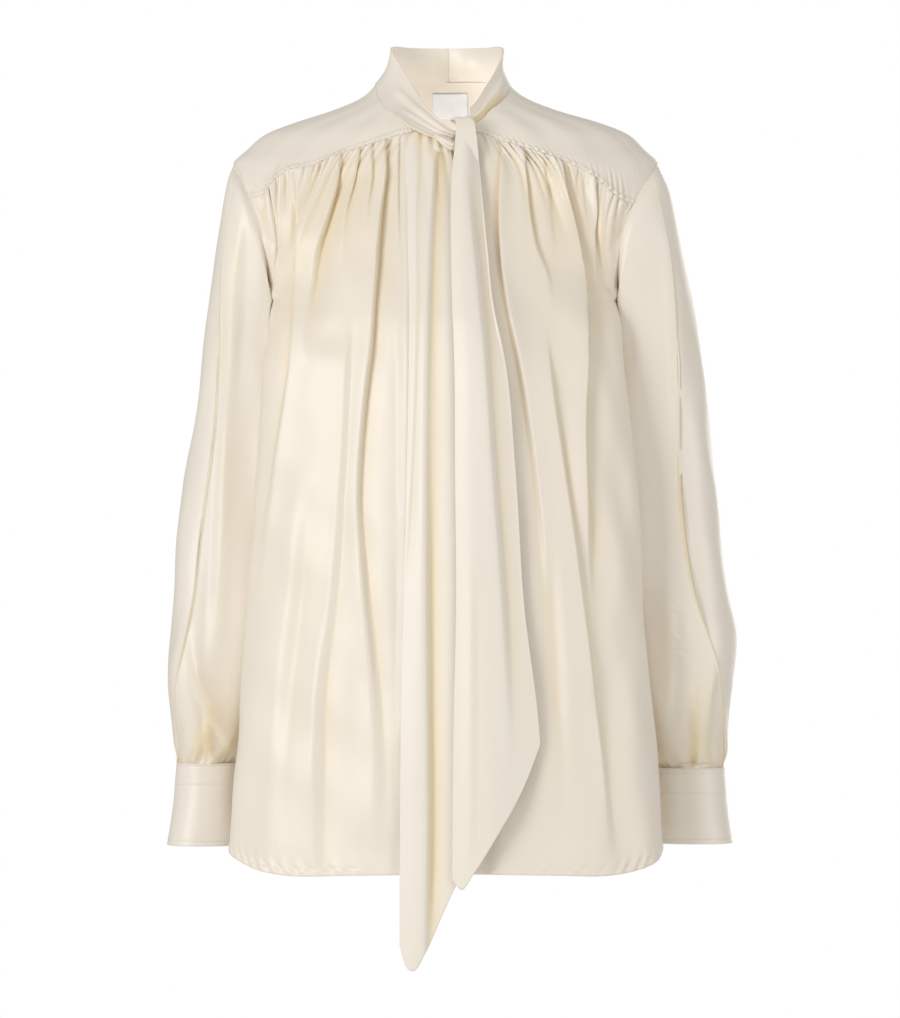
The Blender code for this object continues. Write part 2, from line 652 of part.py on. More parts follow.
def back_place(share, level):
    """Side, turn and height at shares across the back (-1 wearer's right side seam,
    0 centre back, 1 left side seam) and down it."""
    top_z = follow(BACK_TOP, "turn", "z", np.pi / 2 * (1 - np.abs(share)))
    hem_z = follow(HEM, "turn", "back", np.pi / 2 + (SIDE_SEAM_TURN - np.pi / 2) * np.abs(share))
    side_top = follow(BACK_TOP, "turn", "z", 0.0)
    z = panel_heights(level, top_z, hem_z, side_top, 1 - np.abs(share))
    side_hem = follow(HEM, "turn", "back", SIDE_SEAM_TURN)
    first = side_turn(panel_heights(level, side_top, side_hem, side_top, 0.0), True)
    return np.pi / 2 + (first - np.pi / 2) * np.abs(share), z


def back(material):
    """The back panel, gathered into the yoke."""

    def skin(offset, fine_rows):
        rows = []
        for i, level in enumerate(PANEL_LEVELS):
            times = COLUMNS_EACH if i < fine_rows else 1
            share = np.linspace(-1, 1, BACK_COLUMNS + 1)
            turn, z = back_place(share, level)
            share, turn, z = between(share, times), between(turn, times), between(z, times)
            turn = turn + SEAM_GAP / 2 / SIDE_RADIUS * np.abs(share) ** 8
            side = np.where(share < 0, -1.0, 1.0)
            place = np.where(side[:, None] < 0, body(turn, z, -1, True), body(turn, z, 1, True))
            normal = np.where(
                side[:, None] < 0, body_normal(turn, z, -1, True), body_normal(turn, z, 1, True)
            )
            height = folds(BACK_FOLDS, place[..., 0], z) * ease((1 - np.abs(share)) / FLAT_AT_SIDE)
            if fine_rows:
                drop = (follow(BACK_TOP, "turn", "z", turn) - z) / GATHER_DROP
                height = height + GATHER_RISE * np.sin(np.pi * BACK_GATHERS * (share + 1)) * (1 - ease(drop))
            rows.append(place + normal * (height + offset)[:, None])
        return rows

    return walled("back", skin(WALL / 2, 3), skin(-WALL / 2, 0), material)


def armhole_steps(name):
    """Angles round the armhole at which the pieces that meet there have their points:
    the yoke's from the front seam (negative) to the back one, then the back's down to
    the underarm, and the front's up again."""
    share = np.zeros((1, 1))
    front_end = -float(armhole_angle(front_edge(name, share)[1][0, 0]))
    back_end = float(armhole_angle(follow(BACK_TOP, "turn", "z", 0.0)))
    over = np.linspace(front_end, back_end, YOKE_ARMHOLE_STEPS + 1)
    behind = np.linspace(back_end, np.pi, ROWS_BESIDE_ARMHOLE + 1)
    before = np.linspace(-np.pi, front_end, ROWS_BESIDE_ARMHOLE + 1)
    return over, behind, before


def moved_off(turn, z, gap):
    """A seam's points moved across it, up and towards the neck, by the gap."""
    along_turn, along_z = np.gradient(turn * SIDE_RADIUS), np.gradient(z)
    length = np.hypot(along_turn, along_z)
    return turn - gap * along_z / length / SIDE_RADIUS, z + gap * np.abs(along_turn) / length


def yoke_edges(name):
    """Outer and inner edge of one half of the yoke as turns and heights, from its
    point at the front neck to centre back."""
    share = np.linspace(0, 1, FRONT_COLUMNS + 1)[:YOKE_FRONT_COLUMNS + 1]
    front_turn, front_z = front_edge(name, share[None])
    front_turn, front_z = moved_off(front_turn[0, ::-1], front_z[0, ::-1], SEAM_GAP)
    over = armhole_steps(name)[0]
    arm_z = ARMHOLE_MIDDLE + ARMHOLE_HALF_HEIGHT * np.cos(over) + SEAM_GAP / 2
    arm_turn = armhole_turn(arm_z, over > 0)
    front_turn[-1] = arm_turn[0]
    back_share = np.linspace(1, 0, BACK_COLUMNS // 2 + 1)
    back_turn, back_z = back_place(back_share, 0.0)
    outer_turn = np.concatenate([front_turn, arm_turn[1:-1], back_turn])
    outer_z = np.concatenate([front_z, arm_z[1:-1], back_z + SEAM_GAP])
    across = np.concatenate([
        np.linspace(YOKE_FRONT_TURN[name], -0.42, YOKE_FRONT_COLUMNS + 1),
        np.linspace(-0.42, 0.42, YOKE_ARMHOLE_STEPS + 1)[1:-1],
        np.linspace(0.42, np.pi / 2, BACK_COLUMNS // 2 + 1),
    ])
    inner_z = follow(NECKLINE, "turn", name, across) - SEAM_GAP / 2
    return outer_turn, outer_z, across, inner_z


def yoke(material):
    """The yoke, one piece from the right front over the shoulders to the left front."""
    down = np.linspace(0, 1, 7)[:, None]
    grids = {}
    for name, side in (("right", -1), ("left", 1)):
        outer_turn, outer_z, inner_turn, inner_z = yoke_edges(name)
        turn = inner_turn + (outer_turn - inner_turn) * down
        z = inner_z + (outer_z - inner_z) * down
        is_back = turn > 0
        place = np.where(is_back[..., None], body(turn, z, side, True), body(turn, z, side))
        normal = np.where(
            is_back[..., None], body_normal(turn, z, side, True), body_normal(turn, z, side)
        )
        grids[name] = place, normal
    place = np.concatenate([grids["right"][0], grids["left"][0][:, ::-1][:, 1:]], axis=1)
    normal = np.concatenate([grids["right"][1], grids["left"][1][:, ::-1][:, 1:]], axis=1)
    outer = list(place + normal * WALL / 2)
    inner = list(place - normal * WALL / 2)
    return walled("yoke", outer, inner, material)


# ---------------------------------------------------------------- sleeves and cuffs


def sleeve_ring(name, along_sleeve, angle):
    """Points of the sleeve. The angle runs from the outer side (0) by the front (90
    degrees) to the inner side. along_sleeve is the ring's number, whole or between."""
    side = {"right": -1, "left": 1}[name]
    rings = dict(SLEEVE, ring=np.arange(len(SLEEVE["outer_z"]), dtype=float))

    def at(column):
        return follow(rings, "ring", column, along_sleeve)

    c, s = signed_power(np.cos(angle), 2 / SLEEVE_ROUND), signed_power(np.sin(angle), 2 / SLEEVE_ROUND)
    outer_x, inner_x = at(f"outer_{name}"), at("inner_x")
    x = (outer_x + inner_x) / 2 + (outer_x - inner_x) / 2 * c
    z = (at("outer_z") + at("inner_z")) / 2 + (at("outer_z") - at("inner_z")) / 2 * c
    y = at("centre_y") - at("half_depth") * s
    first_x = armhole_x(ARMHOLE_BOTTOM + (ARMHOLE_TOP - ARMHOLE_BOTTOM) * (c + 1) / 2, s < 0)
    straight_x = (SLEEVE["outer_right"][0] + SLEEVE["inner_x"][0]) / 2 + (
        SLEEVE["outer_right"][0] - SLEEVE["inner_x"][0]) / 2 * c
    z = z - SLEEVE_LONGER[name] * ease((-0.30 - z) / 0.30)
    lean = follow(BODY, "z", "lean", z) * (1 - ease(along_sleeve / 6))
    x = x + (first_x - straight_x) * (1 - ease(along_sleeve / SLEEVE_RINGS_AT_CAP))
    return np.stack([side * x + lean, y, z], axis=-1)


def armhole_rim(name, angle, offset):
    """The sleeve's first ring: the armhole seam of the body wall, a gap further on."""
    side = {"right": -1, "left": 1}[name]
    z = ARMHOLE_MIDDLE + (ARMHOLE_HALF_HEIGHT - 2 * SEAM_GAP) * np.cos(angle)
    y = ARMHOLE_CENTRE_Y - (ARMHOLE_HALF_DEPTH - SEAM_GAP) * np.sin(angle)
    back = np.sin(angle) < 0
    turn = turn_for_y(y, z)
    place = np.where(back[..., None], body(turn, z, side, True), body(turn, z, side))
    seam_z = ARMHOLE_MIDDLE + ARMHOLE_HALF_HEIGHT * np.cos(angle)
    seam_turn = armhole_turn(seam_z, back)
    normal = np.where(
        back[..., None],
        body_normal(seam_turn, seam_z, side, True),
        body_normal(seam_turn, seam_z, side),
    )
    return place + normal * offset


def sleeve(name, material):
    """A full sleeve, a tube from the armhole to the cuff."""
    side = {"right": -1, "left": 1}[name]
    last = len(SLEEVE["outer_z"]) - 1
    over, behind, before = armhole_steps(name)
    angle = -np.concatenate([over[:-1], behind[:-1], before[:-1]])
    cap = np.linspace(0, SLEEVE_RINGS_AT_CAP, SLEEVE_RINGS_AT_CAP + 1)
    below = np.linspace(SLEEVE_RINGS_AT_CAP, last, SLEEVE_RINGS_BELOW + 1)
    ring = np.concatenate([cap, below[1:]])[:, None]
    place = sleeve_ring(name, ring, angle)
    normal = side * grid_normals(place, ring=True)
    outer, inner = place + normal * WALL / 2, place - normal * WALL / 2
    outer[0] = armhole_rim(name, angle, WALL / 2)
    inner[0] = armhole_rim(name, angle, -WALL / 2)
    return walled(f"sleeve_{name}", list(outer), list(inner), material, ring=True)


def cuff(name, material):
    """A flared cuff: a band whose front end laps over the other, on the inner side."""
    side = {"right": -1, "left": 1}[name]
    share = np.linspace(0, 1, CUFF_COLUMNS + 1)
    angle = CUFF_OPENS_AT + (2 * np.pi + CUFF_LAP) * share
    rows = np.arange(len(CUFF["inner_x"]), dtype=float)[:, None]
    columns = dict(CUFF, row=rows[:, 0])

    def at(column):
        return follow(columns, "row", column, rows)

    lapped = (WALL + CUFF_LAP_CLEAR) * ease((share - 0.80) / 0.15)
    outer_x, inner_x = at(f"outer_{name}"), at("inner_x")
    x = (outer_x + inner_x) / 2 + ((outer_x - inner_x) / 2 + lapped) * np.cos(angle)
    y = at("centre_y") - (at("half_depth") + lapped) * np.sin(angle)
    z = at(f"z_{name}") - SEAM_GAP * (rows == 0) + 0 * angle
    place = np.stack([side * x, y, z], axis=-1)
    normal = -side * grid_normals(place)
    return walled(
        f"cuff_{name}", list(place + normal * WALL / 2), list(place - normal * WALL / 2), material
    )


# ---------------------------------------------------------------- collar and ties


def collar(name, material):
    """Half of the stand collar: a band from centre back round to the knot."""
    side = {"right": -1, "left": 1}[name]
    columns = COLLAR[name]
    part = np.linspace(0, 1, COLLAR_COLUMNS + 1)
    up = np.linspace(0, 1, 6)[:, None]
    turn = follow(columns, "part", "turn", part)
    seam = body(turn, follow(NECKLINE, "turn", name, turn) + SEAM_GAP, side, False)
    back = body(turn, follow(NECKLINE, "turn", name, turn) + SEAM_GAP, side, True)
    seam = np.where((turn > 0)[:, None], back, seam)
    seam[:, 0] += (CENTRE_BACK_X - seam[0, 0]) * ease((turn - 0.6) / 0.97)
    if name == "right":
        free = np.stack([follow(COLLAR_FREE, "part", k, part) for k in "xyz"], axis=-1)
        seam = np.where((part > COLLAR_FREE["part"][0])[:, None], free, seam)
    top = np.stack([follow(columns, "part", f"top_{k}", part) for k in "xyz"], axis=-1)
    place = top + (seam - top) * (1 - up)[..., None]
    place = place[::-1]
    normal = side * grid_normals(place)
    bulge = COLLAR_BULGE * np.sin(np.pi * up[::-1]) * ease(part / 0.1)
    place = place + normal * bulge[..., None]
    place[:, 0, 0] = CENTRE_BACK_X + side * SEAM_GAP / 2
    normal = side * grid_normals(place)
    normal[:, 0, 0] = 0
    return walled(
        f"collar_{name}", list(place + normal * WALL / 2), list(place - normal * WALL / 2), material
    )


def knot(material):
    """The pinched roll at the crossing, an oval tube filled with its own folds."""
    at = np.linspace(0, 1, KNOT_RINGS)
    columns = dict(KNOT, part=np.linspace(0, 1, len(KNOT["x"])))
    centre = np.stack([follow(columns, "part", k, at) for k in "xyz"], axis=-1)
    heading = np.gradient(centre, axis=0)
    heading /= np.linalg.norm(heading, axis=-1, keepdims=True)
    up = np.cross(heading, np.array([0.0, -1.0, 0.0]))
    up /= np.linalg.norm(up, axis=-1, keepdims=True)
    out = np.cross(heading, up)
    angle = np.arange(KNOT_SIDES) * 2 * np.pi / KNOT_SIDES
    height = follow(columns, "part", "height", at)[:, None, None] / 2
    thick = follow(columns, "part", "thick", at)[:, None, None] / 2
    points = (
        centre[:, None]
        + up[:, None] * height * np.sin(angle)[:, None]
        + out[:, None] * thick * np.cos(angle)[:, None]
    )
    rows = [list(range(i * KNOT_SIDES, (i + 1) * KNOT_SIDES)) for i in range(KNOT_RINGS)]
    faces = []
    for upper, lower in zip(rows, rows[1:]):
        faces += strip(upper + upper[:1], lower + lower[:1])
    faces += [tuple(rows[0]), tuple(rows[-1])]
    return new_object("tie_knot", points.reshape(-1, 3), faces, material)


def front_y(x, z):
    """Y of the fronts' outer face at x, z, without their folds."""
    turn = turn_at(np.abs(x - follow(BODY, "z", "lean", z)), z)
    return body(turn, z, 1)[..., 1] - WALL / 2


def tie_end(name, material):
    """One tie end: a strip that widens downwards and is cut off on the slant."""
    sides, lower, stand = TIE_SIDES[name], TIE_LOWER[name], TIE_STAND_OFF[name]
    share = np.linspace(0, 1, 10)[None, :]
    down = (np.linspace(0, 1, 19)[:, None]) ** 1.15
    top_z = follow(TIE_UPPER[name], "share", "z", share)
    z = top_z + (follow(lower, "share", "z", share) - top_z) * down
    x = follow(sides, "z", "near", z)
    x = x + (follow(sides, "z", "far", z) - x) * share
    off = follow(stand, "share", "off", share)
    base = np.minimum(front_y(x, z), TIE_TOP_Y[name][0])
    pinch = TIE_PINCHED[name] + (1 - TIE_PINCHED[name]) * ease((top_z - z) / 0.10)
    y = base - WALL / 2 - TIE_CLEAR - off * pinch
    y = np.minimum(y, TIE_TOP_Y[name][1] + 0.0030 * share)
    place = np.stack([x, y, z], axis=-1)
    if name == "left":
        turnover = []
        for over_y, over_z in zip(TIE_TURNOVER["y"], TIE_TURNOVER["z"]):
            row_x = follow(sides, "z", "near", over_z) + 0.0004
            row_x = row_x + (follow(sides, "z", "far", over_z) - row_x) * share[0]
            turnover.append(np.stack([row_x, over_y + 0 * row_x, over_z + 0 * row_x], axis=-1))
        place = np.concatenate([np.array(turnover), place])
    normal = grid_normals(place)
    return walled(
        f"tie_end_{name}", list(place + normal * WALL / 2), list(place - normal * WALL / 2), material
    )


def label(material):
    """A blank label on the inside of the back neck, its faces moved in from the yoke."""
    wide, high = LABEL_SIZE
    x = LABEL_CENTRE[0] + np.linspace(-wide / 2, wide / 2, 7)[None, :]
    z = LABEL_CENTRE[1] + np.linspace(high / 2, -high / 2, 5)[:, None]
    x, z = np.broadcast_arrays(x, z)
    lean = follow(BODY, "z", "lean", z)
    side = np.where(x < lean, -1.0, 1.0)
    turn = turn_at(np.abs(x - lean), z, True)
    place = np.where(side[..., None] < 0, body(turn, z, -1, True), body(turn, z, 1, True))
    normal = np.where(
        side[..., None] < 0, body_normal(turn, z, -1, True), body_normal(turn, z, 1, True)
    )
    near = -(WALL / 2 + SEAM_GAP)
    return walled(
        "neck_label", list(place + normal * near), list(place + normal * (near - LABEL_THICK)), material
    )


# ---------------------------------------------------------------- assembly


def cloth_material(name, colour, roughness):
    material = bpy.data.materials.new(name)
    material.use_nodes = True
    shader = material.node_tree.nodes["Principled BSDF"]
    shader.inputs["Base Color"].default_value = colour
    shader.inputs["Roughness"].default_value = roughness
    shader.inputs["Metallic"].default_value = 0.0
    shader.inputs["Sheen Weight"].default_value = 0.2
    return material


def clear_scene():
    for thing in list(bpy.data.objects):
        bpy.data.objects.remove(thing)


def main():
    clear_scene()
    collection = bpy.data.collections.new("blouse")
    bpy.context.scene.collection.children.link(collection)
    makers = [("yoke", yoke), ("back", back), ("tie_knot", knot)]
    for name, maker in makers:
        maker(cloth_material(name, IVORY, 0.45))
    for name in ("right", "left"):
        for maker in (front, sleeve, cuff, collar, tie_end):
            maker(name, cloth_material(f"{maker.__name__}_{name}", IVORY, 0.45))
    label(cloth_material("neck_label", LABEL_WHITE, 0.5))


main()
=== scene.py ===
"""Tie-neck blouse in ivory satin: the cloth, its gathers, folds and stitching.

Metres, +Z up. X runs to the wearer's left, the front faces -Y, and the origin is the
centre of the neck opening at the height of the shoulder line. Each piece of cloth is a
surface of two parameters, worked out on a grid, with a thin wall of its own.
"""

import bpy
import numpy as np
from bpy.props import FloatProperty, FloatVectorProperty, PointerProperty
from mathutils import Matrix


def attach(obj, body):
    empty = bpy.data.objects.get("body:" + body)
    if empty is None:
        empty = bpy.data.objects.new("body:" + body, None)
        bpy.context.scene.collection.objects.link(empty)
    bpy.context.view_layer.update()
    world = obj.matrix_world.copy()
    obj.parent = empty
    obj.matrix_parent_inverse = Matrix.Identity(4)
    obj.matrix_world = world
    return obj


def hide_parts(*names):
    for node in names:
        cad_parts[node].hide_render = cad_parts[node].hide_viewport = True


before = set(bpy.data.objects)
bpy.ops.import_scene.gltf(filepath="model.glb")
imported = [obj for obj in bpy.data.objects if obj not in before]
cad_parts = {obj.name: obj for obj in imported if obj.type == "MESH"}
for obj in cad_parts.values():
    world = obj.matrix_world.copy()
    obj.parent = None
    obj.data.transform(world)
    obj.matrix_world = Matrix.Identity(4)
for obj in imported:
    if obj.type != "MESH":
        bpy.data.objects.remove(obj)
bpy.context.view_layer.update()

bl_info = {
    "name": "Tie-Neck Blouse",
    "version": (1, 0, 0),
    "blender": (4, 5, 0),
    "location": "3D View > Sidebar > Blouse",
    "description": "Makes a gathered satin blouse with a tie neck, and a plain studio round it",
    "category": "Add Mesh",
}

SIDES = {"right": -1, "left": 1}  # the wearer's right is at -X
ROUND = 2 * np.pi

# ---------------------------------------------------------------- tables of sizes

# Lengths in the tables are millimetres. These columns hold plain numbers and angles.
NUMBERS = "turn share part ring angle round side start from_up to_up spread".split()
FOLD_SIZES = "side ridge trough ridge_wide trough_wide lean"
FOLD_PATH = "z x share face"


def table(text):
    """A table written as text: the names of its columns and its rows, after commas."""
    names, *rows = (row.split() for row in text.split(","))
    columns = zip(names, np.array(rows, float).T)
    return {name: column / (1 if name in NUMBERS else 1000) for name, column in columns}


def folds(text):
    """Folds written as text, with a semicolon between them: first a fold's
    sizes, then the rows of its path, after commas. A fold has a ridge, a line where it
    drops over a steep face, and a trough past the line, towards the wearer's left (1) or
    right (-1). Its path gives x, the share of its height that is there and the width of
    the steep face."""
    laid = []
    for one in text.split(";"):
        sizes, path = one.split(",", 1)
        laid.append(table(f"{FOLD_SIZES}, {sizes}") | table(f"{FOLD_PATH}, {path}"))
    return laid


# ---------------------------------------------------------------- sizes of the body

ARMHOLE_TOP = -0.062
ARMHOLE_BOTTOM = -0.195
ARMHOLE_HALF_DEPTH = 0.056
ARMHOLE_CENTRE_Y = 0.004
ARMHOLE_MIDDLE = (ARMHOLE_TOP + ARMHOLE_BOTTOM) / 2
ARMHOLE_HALF_HEIGHT = (ARMHOLE_TOP - ARMHOLE_BOTTOM) / 2
ARMHOLE_SPREAD = 0.50  # how far round the body the armhole draws it in, as a turn
SIDE_SEAM_TURN = 0.38
DENT_TURN = 0.40
DENT_SPREAD = 0.30
PAST_CENTRE = 2.2  # a turn beyond centre front, where a search starts

BODY = table("""
    z half_width front_y back_y widest_y round dent lean,
    20 59 -43 47 0 1.8 0 -4,
    8 65 -48 51 0 1.75 0 -4,
    -3 79 -52 55 0 1.62 0 -3,
    -14 106 -56 58 0 1.62 0 -2,
    -25 142 -59 61 0 1.7 0 0,
    -33 163.6 -62 63 0 1.8 0 0,
    -52 188 -68 69 0 2 0 -1,
    -62 199 -72 72 0 2.08 0 -1,
    -96 202 -85 82 -4 2.2 0 -4,
    -130 187 -99 92 -10 2.2 0 -5,
    -160 168 -109 97 -20 2.2 0 -4,
    -195 165 -119 100 -38 2.2 0 -3,
    -213 169.5 -124 102 -48 2.2 14 -2,
    -240 174 -129 103 -54 2.2 26 -3,
    -306 180 -135 106 -58 2.2 31 -2,
    -381 185.5 -140 109 -60 2.2 32 -1,
    -492 191 -145 114 -60 2.25 32 -2,
    -567 196.5 -148 118 -60 2.25 33 -1,
    -623 201.5 -150 122 -60 2.3 34 0,
    -688 205 -151 126 -60 2.3 34 0,
    -740 207 -152 128 -60 2.3 34 0,
    -830 208 -152 130 -60 2.3 34 0""")
ARMHOLE = table("""
    z front back, -62 199 199, -75 191 190, -98 180 175.5, -134 168.5 158.5, -160 164 151,
    -180 163.2 150, -192 163.2 154.2, -195 159.4 159.4""")
NECKLINE = table("""
    turn right left, -1.571 -38 -37, -1.345 -33.5 -28.1, -1.13 -21.5 -17, -.88 -11.8 -8.5,
    -.75 -6.6 -4.5, -.6 -2.2 -.3, -.3 6.8 7, 0 12 10.5, .5 14 13.5, 1 15.5 15.5, 1.571 16 16""")
TOP_EDGE = {
    "right": table("""
        x z, 179 -97.5, 172 -96.5, 165.5 -87, 153 -74.5, 125.6 -67.7, 100.4 -58, 68.8 -47.6,
        37.5 -38.5, 0 -40"""),
    "left": table("""
        x z, 172 -104.5, 162 -99.5, 150 -90, 138 -79, 110.8 -65.3, 86.1 -56, 54.9 -46.7, 30 -37.5,
        0 -39"""),
}
BACK_TOP = table("turn z, 0 -100, .8 -94, 1.2 -89, 1.571 -87")
HEM = table("""
    turn front back, -1.571 -722.5 -722.5, -1.1 -724.5 -724.5, -.79 -725.5 -725.5,
    -.566 -721.5 -721.5, -.3 -712.5 -712.5, 0 -701 -701, .38 -686 -686, .7 -698 -698, 1 -716 -716,
    1.3 -724 -724, 1.571 -725 -725""")
LAP = table("z over under, -30 10 -12, -400 18 -12, -830 30 -12")
LAP_STEP = 0.0030  # how far the under front drops behind the other one
LAP_EASES_OVER = 0.020
LAST_SHARE = 0.93  # share across a front from which its top edge turns to the lap
TOP_EDGE_REACH = 0.16
EVEN_ROWS_FROM = 0.5
TUCKED_ROWS = (0.0036, 0.0024, 0.0012)  # heights of a panel's rows beneath the yoke
FRONT_WIDTH = 0.19
BACK_HALF_WIDTH = 0.20
FLAT_AT_SIDE = 0.07
FLAT_UNDER_TIE = {"right": 0.036, "left": 0.024}
HEM_DEPTH = 0.0062
HEM_PROUD = 0.0004
HEM_PUCKER = 0.00065
HEM_PUCKER_SPREAD = 0.007
HEM_WAVES = (0.005, 0.013)
FRONT_SEED = {"right": 5, "left": 8}
BACK_SEEDS = (21, 17)  # of its gathers and of its hem
RIPPLE_HEIGHT = {"front": 0.0005, "back": 0.00035}
YOKE_TUCK = 0.0009  # how far a panel lies beneath the yoke's edge

YOKE_FRONT_SHARE = 0.875
YOKE_COLUMNS = (135, 41, 85)  # along the front seam, the armhole and the back seam
YOKE_FRONT_TURN = {"right": -1.320, "left": -1.385}
YOKE_ARM_TURN = 0.42  # turn at the neck over against the armhole's ends
YOKE_STITCHES = (0.0012, 0.0058)
YOKE_BAND = (0.0005, 0.0052)  # height and width of the raised band at its edge
YOKE_WAVES = (0.0038, 0.0078)
YOKE_SEED = {"right": 3, "left": 4}
YOKE_PUCKER = 0.0008
YOKE_KNOCK = 0.0010  # height of the waves where the front seam meets the armhole
YOKE_KNOCK_AT = (0.011, 0.150)  # their distance from the edge and along it
YOKE_SOFT = 0.0009
NECK_ROLL = 0.0008  # radius of the turned edge at the neck

# ---------------------------------------------------------------- sizes of the folds

FRONT_FOLDS = {
    "right": folds("""
        -1 3.6 3.4 10 12 .8, -80 -140.5 0 3, -107 -140.9 1 2.8, -178 -144 1 4, -243 -148.3 .9 6,
          -353 -164.6 .7 9, -491 -182.8 0 12;
        1 3.6 4.6 12 13 1.2, -60 -99 .5 3, -88 -103 1 3, -112 -110.2 1 4, -140 -119.3 1 5,
          -173 -125.6 .8 6.5, -224 -131.8 .3 9, -262 -133.5 0 11;
        1 2.4 3.2 7 9 1, -56 -81.5 .6 2.5, -82 -86.3 1 2.8, -103 -91.8 .8 4, -131 -95.3 .3 6,
          -165 -96.5 0 8;
        1 1.8 2.4 6 7 .6, -50 -69.7 .7 2.5, -79 -69.6 1 2.8, -107 -73.2 .5 4, -135 -75 0 6;
        1 4.4 4.4 13 13 1, -47 -56.7 .5 2.6, -74 -56.6 .9 2.8, -103 -60.2 1 3.2, -178 -66.4 1 3.6,
          -243 -70.9 1 3.8, -289 -76.3 1 4.4, -381 -81.8 1 6, -454 -76.2 1 9, -528 -68.8 .9 12,
          -601 -63.3 .6 15, -690 -62 .1 18;
        1 2.2 2 10 12 0, -215 -90.5 0 6, -260 -92 .8 7, -381 -98.3 1 8, -482 -106.5 1 10,
          -546 -114.8 .8 12, -660 -120 0 15;
        1 1.6 2.4 5 6 .5, -46 -44.2 .7 2.2, -103 -44.5 1 2.6, -150 -43.4 .8 4, -230 -42 0 6;
        1 2 2.6 18 20 0, -360 -133 0 15, -450 -140 1 16, -560 -152 1 18, -690 -160 .2 20;
        1 2.2 3 14 16 0, -480 -112 0 12, -580 -118 1 12, -650 -119 1 13, -722 -119 .4 15"""),
    "left": folds("""
        -1 2.6 3.6 9 12 1, -48 51 .5 2.6, -98 48.3 1 2.8, -136 49.1 1 3, -206 57.2 1 4,
          -252 67.3 1 5, -321 78.3 .9 6, -399 87.4 .8 8, -500 93 .2 12, -560 94 0 12;
        1 2.4 3.4 9 11 1, -52 71.2 .5 2.6, -88 75.2 1 2.8, -119 78.8 1 3.6, -140 83.3 .8 4.5,
          -168 95.2 .4 6, -205 101 0 8;
        1 4.6 6 14 17 2, -64 107 .4 2.6, -93 111.4 .9 2.6, -112 116.8 1 2.8, -136 123.1 1 3,
          -182 132.1 1 3.2, -252 131.8 1 3.8, -326 129.8 1 5, -399 133.4 .8 8, -470 138 .2 12,
          -520 140 0 12;
        1 2.2 2.8 6 8 .8, -78 137.6 .6 2.6, -112 141.8 1 2.8, -140 142.5 .9 3.4, -178 146.9 .4 5,
          -210 150 0 7;
        1 3.4 3.6 16 18 1, -225 96 0 5, -275 99.2 .8 5, -344 108.6 1 5, -408 117.7 1 5,
          -473 126.9 1 6, -546 136.9 1 7, -620 146.1 .8 9, -700 154 .1 12;
        -1 1.8 4 16 20 0, -400 99 0 12, -470 102 1 13, -565 108 1 14, -650 112 .3 16,
          -700 113 0 16;
        1 1.6 2.2 8 10 0, -60 90.5 .6 3, -85 93.5 1 3.6, -110 97.5 .6 5, -150 103 0 7"""),
}
FRONT_HOLLOWS = {
    "right": table("""
        x z wide high deep, -112 -228 14 16 2.2, -135 -330 16 22 1.6, -150 -480 20 50 2,
        -65 -700 30 16 1.8"""),
    "left": table("""
        x z wide high deep, 106 -218 13 14 2.2, 121 -236 10 12 2, 150 -560 22 40 2.2,
        105 -690 20 14 1.6"""),
}
BACK_FOLDS = folds("""
    1 3.4 4.4 12 14 1.2, -96 -29 .5 2.8, -150 -33 1 3.2, -250 -40 1 5, -400 -44 .7 9,
      -520 -47 0 12;
    -1 3.6 5 13 15 1.4, -96 34 .5 2.8, -150 40 1 3, -260 50 1 4.5, -420 55 .8 8, -600 59 0 12;
    1 3.4 4.6 12 14 1.2, -98 -85 .5 2.8, -160 -91 1 3.2, -270 -98 1 4.8, -400 -104 .6 9,
      -560 -109 0 12;
    -1 3 3.8 11 13 1, -98 92 .5 2.8, -160 97 1 3.4, -240 104 .9 5.2, -340 109 .5 9, -460 113 0 12;
    1 2.6 3 18 20 0, -290 4 0 12, -380 7 1 12, -520 10 1 14, -700 12 .3 17;
    -1 2.4 2.8 17 19 0, -380 -74 0 12, -470 -77 1 12, -600 -81 1 15, -715 -84 .3 17;
    1 1.4 2 7 9 .6, -94 6 .7 2.6, -130 7 1 3.2, -170 5 .5 5, -220 3 0 7;
    -1 1.6 2.2 7 9 .6, -95 -56 .7 2.6, -125 -58 1 3.2, -165 -62 .5 5, -210 -65 0 7""")
# Gathers below the yoke: pitch and depth as multiples of the usual ones, what is added
# to the seed, how far down they reach, and how narrow they are for their pitch.
SEAM_GATHERS = (
    (1.00, 1.00, 0, (0.016, 0.070), (0.12, 0.22)),  # deep ones
    (0.55, 0.50, 100, (0.006, 0.016), (0.22, 0.32)),  # fine pinches
    (2.60, 0.95, 200, (0.12, 0.45), (0.12, 0.22)),  # soft ones
)
GATHER_PROUD = 0.3  # how far the cloth rises between gathers, for their depth
GATHER_BETWEEN = 1.2  # width of the cloth that rises, for their pitch
GATHER_STEPS = (0.55, 1.5)  # least and most distance between two, for their pitch
GATHER_DEPTHS = (0.45, 1.2)  # least and most depth, for the usual one
GATHER_LEAN = 0.22  # most that one slants
GATHER_OPENS_IN = 0.02  # how far down the cloth one is twice as wide
# Depth at which a valley gets the full painted shade: a panel's fold, a sleeve's or a tie
# end's, a gather, a soft gather and a pucker above a cuff.
FULL_DEPTH = {"panel": 0.0042, "loose": 0.0040, "gather": 0.0034, "soft": 0.0025, "pucker": 0.0014}
FOLD_ENDS = 0.004  # how far past its path a fold runs on
# Width of the painted crease shade at a fold's foot, and how it widens with the steep face.
CREASE_SHADE_WIDTH = 0.0011
CREASE_SHADE_WIDENS = 0.3  # with the width of the steep face
SHARP_FACE = 0.004  # width of a steep face that gets the full painted crease shade at its foot
FULL_TROUGH = 0.0058  # depth of a trough that gets the full painted crease shade
RIPPLE_LENGTHS = (0.022, 0.060)
RIPPLE_FULL = 0.05  # length of a wave that has the whole height
RIPPLE_STRETCH = 0.6  # how much a distance down the cloth counts beside one across it

# ---------------------------------------------------------------- sizes of the sleeves

